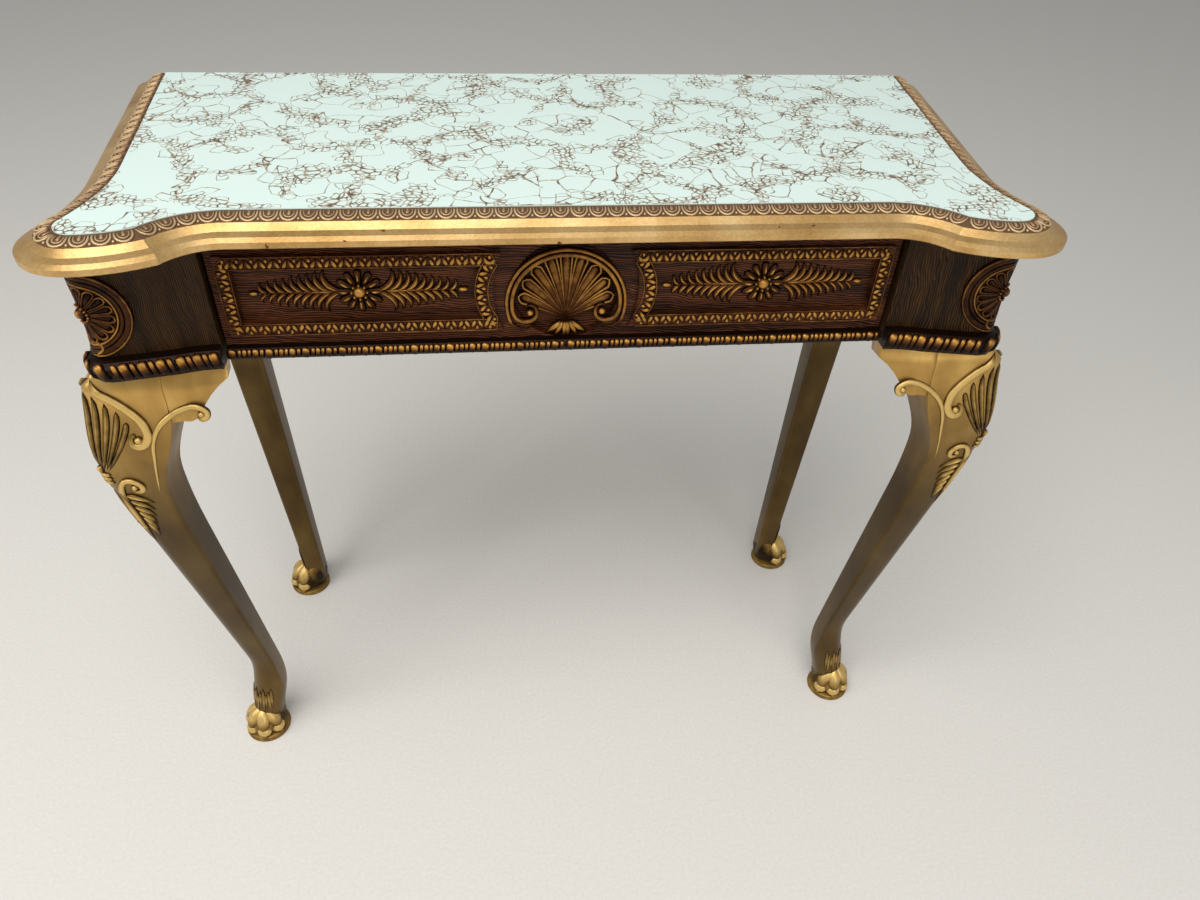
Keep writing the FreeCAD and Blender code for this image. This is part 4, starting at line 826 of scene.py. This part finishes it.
def ease(z, low, high):
    """A soft step from one value to another; low and high are each a value and its place."""
    share = min(max((z - low[1]) / (high[1] - low[1]), 0), 1)
    share = share * share * (3 - 2 * share)
    return low[0] + (high[0] - low[0]) * share


def fall(z, top, foot, bend):
    """An arc that leaves the fullest place upright and runs into a straight shin."""
    lean = (foot[0] - top[0]) / (top[1] - foot[1] - bend / 2)
    down = top[1] - z
    if down < bend:
        return top[0] + lean * down * down / (2 * bend)
    return top[0] + lean * (down - bend / 2)


def front_inset(z, sweep):
    """How far the outer outline lies inside the knee: pairs of inset and height."""
    toe, ankle = (35 + 2.75 * sweep, SOLE), (49.5 + sweep, 135)
    knee, shoulder, neck = (0, 522), (8, 593), (21 - 2 * sweep, LEG_TOP)
    if z > shoulder[1]:
        return ease(z, shoulder, neck)
    if z > knee[1]:
        return ease(z, knee, shoulder)
    return fall(z, knee, ankle, 40) if z > ankle[1] else ease(z, toe, ankle)


def back_inset(z, sweep):
    """The same for the inner outline."""
    foot, heel = (71 + 2.75 * sweep, SOLE), (82.5 + sweep, 85)
    calf, top = (54.5, 475), (79, 567)
    if z > calf[1]:
        return ease(z, calf, top)
    return fall(z, calf, heel, 80) if z > heel[1] else ease(z, foot, heel)


def softened(line, z, sweep):
    """The saw's kinks taken off with a spokeshave: an average over a short length."""
    if z > 560:
        return line(z, sweep)
    return (line(z - 14, sweep) + 2 * line(z, sweep) + line(z + 14, sweep)) / 4


def leg_corners(z):
    """Outer, side-back, inner and front corners, each with its rounding and first bearing."""
    out_x, out_y = KNEE_X - softened(front_inset, z, 0), KNEE_Y + softened(front_inset, z, 4)
    in_x, in_y = KNEE_X - softened(back_inset, z, 0), KNEE_Y + softened(back_inset, z, 4)
    outer = ease(z, (14, 585), (4, LEG_TOP))
    edge = ease(z, (4, 480), (0.6, 525))
    if z < 120:
        outer, edge = ease(z, (16, 60), (outer, 120)), ease(z, (15, 60), (edge, 120))
    return [
        (out_x - outer, out_y + outer, outer, -90),
        (out_x - edge, in_y - edge, edge, 0),
        (in_x + edge, in_y - edge, edge, 90),
        (in_x + edge, out_y + edge, edge, 180),
    ]


def leg_skin(u, v):
    """u runs round the leg from 0 to 4, one corner to each whole number; v is the height."""
    corner = min(int(u), 3)
    x, y, radius, first = leg_corners(v)[corner]
    spot = polar((x, y), radius, first + 90 * min((u - corner) * CORNER_SHARE, 1))
    return Vector((*spot, v))


def loft(shape, skin, heights):
    rub_and_highlight = shape.verts.layers.float["rub_and_highlight"]
    rows = len(heights) - 1
    made = bmesh.ops.create_grid(shape, x_segments=LEG_POINTS, y_segments=rows, size=0.5)["verts"]
    for point in made:
        u, row = (point.co.x + 0.5) * 4, round((point.co.y + 0.5) * rows)
        point[rub_and_highlight] = 0.55
        point.co = skin(u % 4, heights[row])
    bmesh.ops.remove_doubles(shape, verts=made, dist=WELD)
    rims = [edge for edge in shape.edges if edge.is_boundary]
    bmesh.ops.holes_fill(shape, edges=rims)


shape = start_shape()
loft(shape, leg_skin, [LEG_TOP, 607, 602, 597, 592, 586] + [578 - 8 * k for k in range(69)])
end_pair(shape, "cabriole_leg", "table", antique_gilt, ("front_leg",))

# %% [markdown]
# A wing is glued to each flat of the knee, to lead the eye from the leg to the apron. It is a
# board with a fretted lower edge, and its end is shaved back to meet the hollow of the block.
# The side wing is hollowed at the top as well, because the apron lies farther in there. A grid
# is bent to that outline, thickened, and its sharp edges are rounded.
# %% Knee wings
WING_EDGE = [(60, 551), (70, 557), (80, 561.5), (90, 563), (97, 562.2), (103, 564.5), (106.5, 570),
             (111, 577.5), (117, 585.5), (125, 594), (134, 600.5)]
WING_COLUMNS, WING_ROWS, WING_THICK = 36, 10, 34
SHAVE_START, SHAVE_SLOPE = 94, 0.2
GLUED_END, GLUED_SINK = 80, 2


def wing_line(share):
    """A point of the wing's lower edge, from the leg to the tip."""
    place = share * (len(WING_EDGE) - 1)
    k = min(int(place), len(WING_EDGE) - 2)
    return Vector(WING_EDGE[k]).lerp(Vector(WING_EDGE[k + 1]), place - k)


shape = start_shape()
for sideways in (False, True):
    board = bmesh.ops.create_grid(shape, x_segments=WING_COLUMNS, y_segments=WING_ROWS, size=0.5)["verts"]
    for point in board:
        u, low = wing_line(point.co.x + 0.5)
        z = low + (LEG_TOP - low) * (point.co.y + 0.5)
        back = front_inset(z, 0 if sideways else 4) + max(0, u - SHAVE_START) * SHAVE_SLOPE
        back += min(GLUED_SINK, max(0, GLUED_END - u))
        if sideways:
            back += ease(u, (0, 76), (20, 104)) * ease(z, (0, 570), (1, LEG_TOP))
        out, along = (u, back) if sideways else (back, u)
        point.co = (KNEE_X - along, KNEE_Y + out, z)
    shape.normal_update()
    faces = list(dict.fromkeys(face for point in board for face in point.link_faces))
    bmesh.ops.solidify(shape, geom=faces, thickness=WING_THICK if sideways else -WING_THICK)
bmesh.ops.recalc_face_normals(shape, faces=shape.faces[:])
sharp = [edge for edge in shape.edges if edge.calc_face_angle(0) > 0.9]
bmesh.ops.bevel(shape, geom=sharp, offset=0.9, segments=2, profile=0.5, affect="EDGES", material=-1,
                clamp_overlap=True)
end_pair(shape, "knee_wing", "table", antique_gilt, ("front_wing", "side_wing"))

# %% [markdown]
# The knee is carved on both faces alike. A flat band sweeps down from the top of the corner
# and rolls up in a volute, flutes fan out above three short bars, and a smaller scroll with
# husks hangs below. A second band rolls up on the wing and runs down the knee's edge. The
# lines are given as the distance from the corner and the height, and are laid on the leg's
# two faces and round the corner between them.
# %% Knee carving
BAND = [(1, 607), (12, 597), (25, 586), (37, 574.5), (46, 564), (50.5, 552), (48.5, 543), (42.5, 538.5),
        (36.5, 541), (35.5, 547.5), (39, 551)]
SCROLL = [(9, 462), (9, 477), (11, 489), (17, 497.5), (25, 497), (30, 490.5), (27.5, 483.5),
          (21.5, 483), (20, 487.5)]
EDGE = [(95, 567), (98, 564.5), (102, 566.5), (102.5, 571.5), (98, 575.5), (90, 578), (77, 573.5),
        (65, 564), (57.5, 553), (54, 540), (52, 522), (48, 503), (43, 484), (38, 466)]
REED_TIPS = [(0, 599), (8, 592.5), (16.5, 584.5), (25, 575.5), (32.5, 564)]
HUSK_STEM = [(6, 484), (7, 445), (3, 398)]


def on_knee(u, v):
    """u is the distance from the corner: below 0 on the front face, above 0 on the side face."""
    x, y, radius = leg_corners(v)[0][:3]
    quarter = radius * math.pi / 4
    if u < -quarter:
        return Vector((x + u + quarter, y - radius, v))
    if u > quarter:
        return Vector((x + radius, y + u - quarter, v))
    turn = -math.pi / 4 + u / radius
    return Vector((x + radius * math.cos(turn), y + radius * math.sin(turn), v))


shape = start_shape()
for way in (-1, 1):
    ridge(shape, on_knee, through(on_side(way, BAND), 3), 4.0, 3.4,
          lambda t: min(1, t * 9) * min(1, 0.42 + (1 - t) * 1.6), 10, 0.55)
    bead(shape, on_knee, (way * 42, 545.5), 4.0, 4.0, 4.4)
    for n, tip in enumerate(REED_TIPS):
        root = (0.4 + 2.0 * n, 513 - 0.5 * n)
        reed = [root, (root[0] + tip[0] * 0.5, 532), (tip[0] * 1.04, 556), tip]
        line = sweep_of(on_side(way, reed), 12)
        ridge(shape, on_knee, line, 4.3 if n else 3.4, 3.2, petal, bright=0.68)
        ridge(shape, on_knee, line, 2.0, 4.6, petal)
    ridge(shape, on_knee, through(on_side(way, SCROLL), 3), 2.9, 3.2,
          lambda t: min(1, t * 5, 0.4 + (1 - t) * 2), 8, 0.7)
    bead(shape, on_knee, (way * 23, 489), 3.2, 3.2, 3.8)
    for n in range(6):
        root = (9 + n * 0.3, 478 - 8.5 * n)
        husk = [root, (root[0] + 10 - n, root[1] - 2), (31 - 3.6 * n, 464 - 10.5 * n)]
        line = sweep_of(on_side(way, husk), 8)
        ridge(shape, on_knee, line, 3.0, 2.9, leaf, bright=0.7)
        ridge(shape, on_knee, line, 1.1, 4.2, leaf)
    ridge(shape, on_knee, sweep_of(on_side(way, HUSK_STEM), 12), 3.4, 3.0, leaf)
    bead(shape, on_knee, (way * 5.5, 428), 3.0, 3.0, 3.2)
    ridge(shape, on_knee, through(on_side(way, EDGE), 3), 2.9, 2.8,
          lambda t: min(1, 0.5 + t * 4, (1 - t) * 2.2), 8, 0.7,
          bright=lambda t: 1 / max(0.25, min(1, (1 - t) * 2.2)))
    bead(shape, on_knee, (way * 97.5, 569.5), 3.2, 3.2, 3.2)
for n in range(3):
    ridge(shape, on_knee, [(u - 9, 506 - 5 * n) for u in range(0, 19, 2)], 2.2, 3.0, blunt)
bead(shape, on_knee, (0, 512), 4.0, 4.0, 4.2)
end_pair(shape, "knee_carving", "table", carved_gilt)

# %% [markdown]
# Paw feet: each of four toes has a long knuckle and a rounded tip with a small claw, locks of
# hair hang over the toes, and the whole stands on a thin turned pad. A paw is carved pointing
# along x and then turned: forwards and a little out at the front, straight out at the back.
# %% Paw feet
PAD = [(0, 0), (26.6, 0), (27.8, 1.2), (27.8, 2.4), (26, 3.4), (26.6, 4.8), (25, 6), (0, 6)]
TOE_TURNS = (-75, -25, 25, 75)
# knuckle, tip and claw: middle and sizes in mm, how much rubbed gold and painted highlight each gets, and its
# lean
TOE = (((13, 0, 31), (9.0, 9.4, 18), 1.0, -0.62), ((19.6, 0, 15.4), (8.6, 9.6, 8.2), 1.15, 0.2),
       ((25.6, 0, 8), (2.6, 3.4, 3.0), 0.45, 0))
FRONT_STAND, BACK_STAND = (387, -82, 0), (364, 166, 0)


def ball(shape, centre, sizes, bright, lean=0.0, turn=0.0):
    rub_and_highlight = shape.verts.layers.float["rub_and_highlight"]
    made = bmesh.ops.create_uvsphere(shape, u_segments=16, v_segments=10, radius=1)["verts"]
    # The gold rises towards the top and the front of each ball: partly real wear, partly a painted highlight
    # of light from above.
    for point in made:
        point[rub_and_highlight] = bright * min(1, max(0, 0.35 + 0.5 * point.co.z + 0.6 * point.co.x))
    size = Matrix.Diagonal((*sizes, 1))
    spin = Matrix.Rotation(turn, 4, "Z") @ Matrix.Translation(centre) @ Matrix.Rotation(lean, 4, "Y")
    bmesh.ops.transform(shape, matrix=spin @ size, verts=made)


def carve_paw(stand, angle, hair, spread):
    """A paw on its stand, turned by an angle; its locks of hair lie on the leg's surface."""
    shape = start_shape()
    home = Matrix.Translation(Vector(stand)) @ Matrix.Rotation(math.radians(angle), 4, "Z")

    def fur(u, v):
        return home.inverted() @ hair(u, v)

    line = [shape.verts.new((x, 0, z)) for x, z in PAD]
    edges = [shape.edges.new(pair) for pair in zip(line, line[1:])]
    bmesh.ops.spin(shape, geom=line + edges, axis=(0, 0, 1), cent=(0, 0, 0), angle=2 * math.pi, steps=36,
                   use_merge=True)
    for point in shape.verts:
        point[shape.verts.layers.float["rub_and_highlight"]] = 0.5
    ball(shape, (0, 0, 18), (24, 24, 16), 0.5)
    ball(shape, (-12, 0, 27), (16, 20, 26), 0.7)
    for turn in TOE_TURNS:
        for centre, sizes, bright, lean in TOE:
            ball(shape, centre, sizes, bright, lean, math.radians(turn))
    for k in range(-6, 7):
        between, stagger = k % 2, 6 * (k % 3)
        root, tip = k * 3.2 * spread, k * (4.2 if between else 3.8) * spread
        lock = sweep_of([(root, 90 - stagger), (k * 3.5 * spread, 70), (tip, 38 if between else 50)], 9)
        ridge(shape, fur, lock, 2.4 * spread, 1.3, leaf, bright=lambda t: 0.55 + 0.35 * t)
    bmesh.ops.transform(shape, matrix=home, verts=shape.verts[:])
    return shape


def post_at(v):
    """The middle of a back leg at a height, and half its width."""
    share = min(max((LEG_TOP - v) / (LEG_TOP - SOLE), 0), 1)
    return 377 - 27 * share, 22 - 9 * share


def on_post(u, v):
    return Vector((sum(post_at(v)), BACK_STAND[1] + u, v))


front_paw = carve_paw(FRONT_STAND, -66, on_knee, 1.0)
end_pair(front_paw, "front_paw", "table", carved_gilt)
back_paw = carve_paw(BACK_STAND, 0, on_post, 0.56)
end_pair(back_paw, "back_paw", "table", carved_gilt)

# %% [markdown]
# The back legs are plainer: a square post that tapers to the ankle, with its edges taken off
# by a plane. They are lofted the same way as the front legs, with four even corners.
# %% Back legs
POST_CORNERS = [(1, -1), (1, 1), (-1, 1), (-1, -1)]


def post_skin(u, v):
    middle, half = post_at(v)
    corner = min(int(u), 3)
    soft = 3 if v > 600 else 4.5
    x, y = [place + way * (half - soft) for place, way in zip((middle, BACK_STAND[1]), POST_CORNERS[corner])]
    spot = polar((x, y), soft, -90 + 90 * corner + 90 * min((u - corner) * CORNER_SHARE, 1))
    return Vector((*spot, v))


shape = start_shape()
loft(shape, post_skin, [739, 690, 640, LEG_TOP] + [600 - 24 * k for k in range(25)])
end_pair(shape, "back_post", "table", antique_gilt, ("back_leg",))

# %% [markdown]
# The table stands on a plain pale floor under three soft lamps: a large one above, and two
# smaller ones in front and at the left. The camera stands where the photographer stood, close
# to the table and a little higher than its top.
# %% Floor, light and camera
floor_mesh = bpy.data.meshes.new("floor")
shape = bmesh.new()
bmesh.ops.create_grid(shape, x_segments=1, y_segments=1, size=6)
shape.to_mesh(floor_mesh)
shape.free()
floor = bpy.data.objects.new("floor", floor_mesh)
bpy.context.scene.collection.objects.link(floor)
pale_floor, tree, place = start_finish("pale_floor")
speck = pattern(tree, "TexNoise", place, 4, {"Detail": 3.0})
tone = add(tree, "ValToRGB", {"Fac": speck}, stops=[(0.3, "#dedad2"), (0.7, "#e6e2da")])
end_finish(pale_floor, {"Base Color": tone, "Roughness": 0.9})
floor_mesh.materials.append(pale_floor)

world = bpy.data.worlds.new("studio")
bpy.context.scene.world = world
world.use_nodes = True
world.node_tree.nodes["Background"].inputs["Color"].default_value = paint("#e6e8ea")
world.node_tree.nodes["Background"].inputs["Strength"].default_value = 0.4


def soft_lamp(name, place, target, size, watts):
    lamp = bpy.data.lights.new(name, "AREA")
    lamp.size = size
    lamp.energy = watts
    thing = bpy.data.objects.new(name, lamp)
    thing.location = place
    thing.rotation_euler = (Vector(target) - Vector(place)).to_track_quat("-Z", "Y").to_euler()
    bpy.context.scene.collection.objects.link(thing)


soft_lamp("sky_softbox", (-0.7, -1.5, 3.2), (0, 0, 0.4), 2.4, 92)
soft_lamp("front_softbox", (1.2, -2.6, 1.3), (0, 0, 0.5), 1.4, 13)
soft_lamp("left_softbox", (-2.4, -0.9, 1.4), (0, 0, 0.5), 1.0, 13)

lens = bpy.data.cameras.new("camera")
lens.lens, lens.sensor_width = 27.0, 36.0
camera = bpy.data.objects.new("camera", lens)
turn = Matrix(((0.99331, 0.041, -0.10792), (-0.10844, 0.65211, -0.75033), (0.03961, 0.75701, 0.6522)))
camera.matrix_world = Matrix.Translation((-0.06169, -0.79762, 1.08443)) @ turn.to_4x4()
bpy.context.scene.collection.objects.link(camera)
bpy.context.scene.camera = camera
bpy.context.scene.view_settings.view_transform = "Standard"
print("camera at", [round(x, 2) for x in camera.matrix_world.translation])
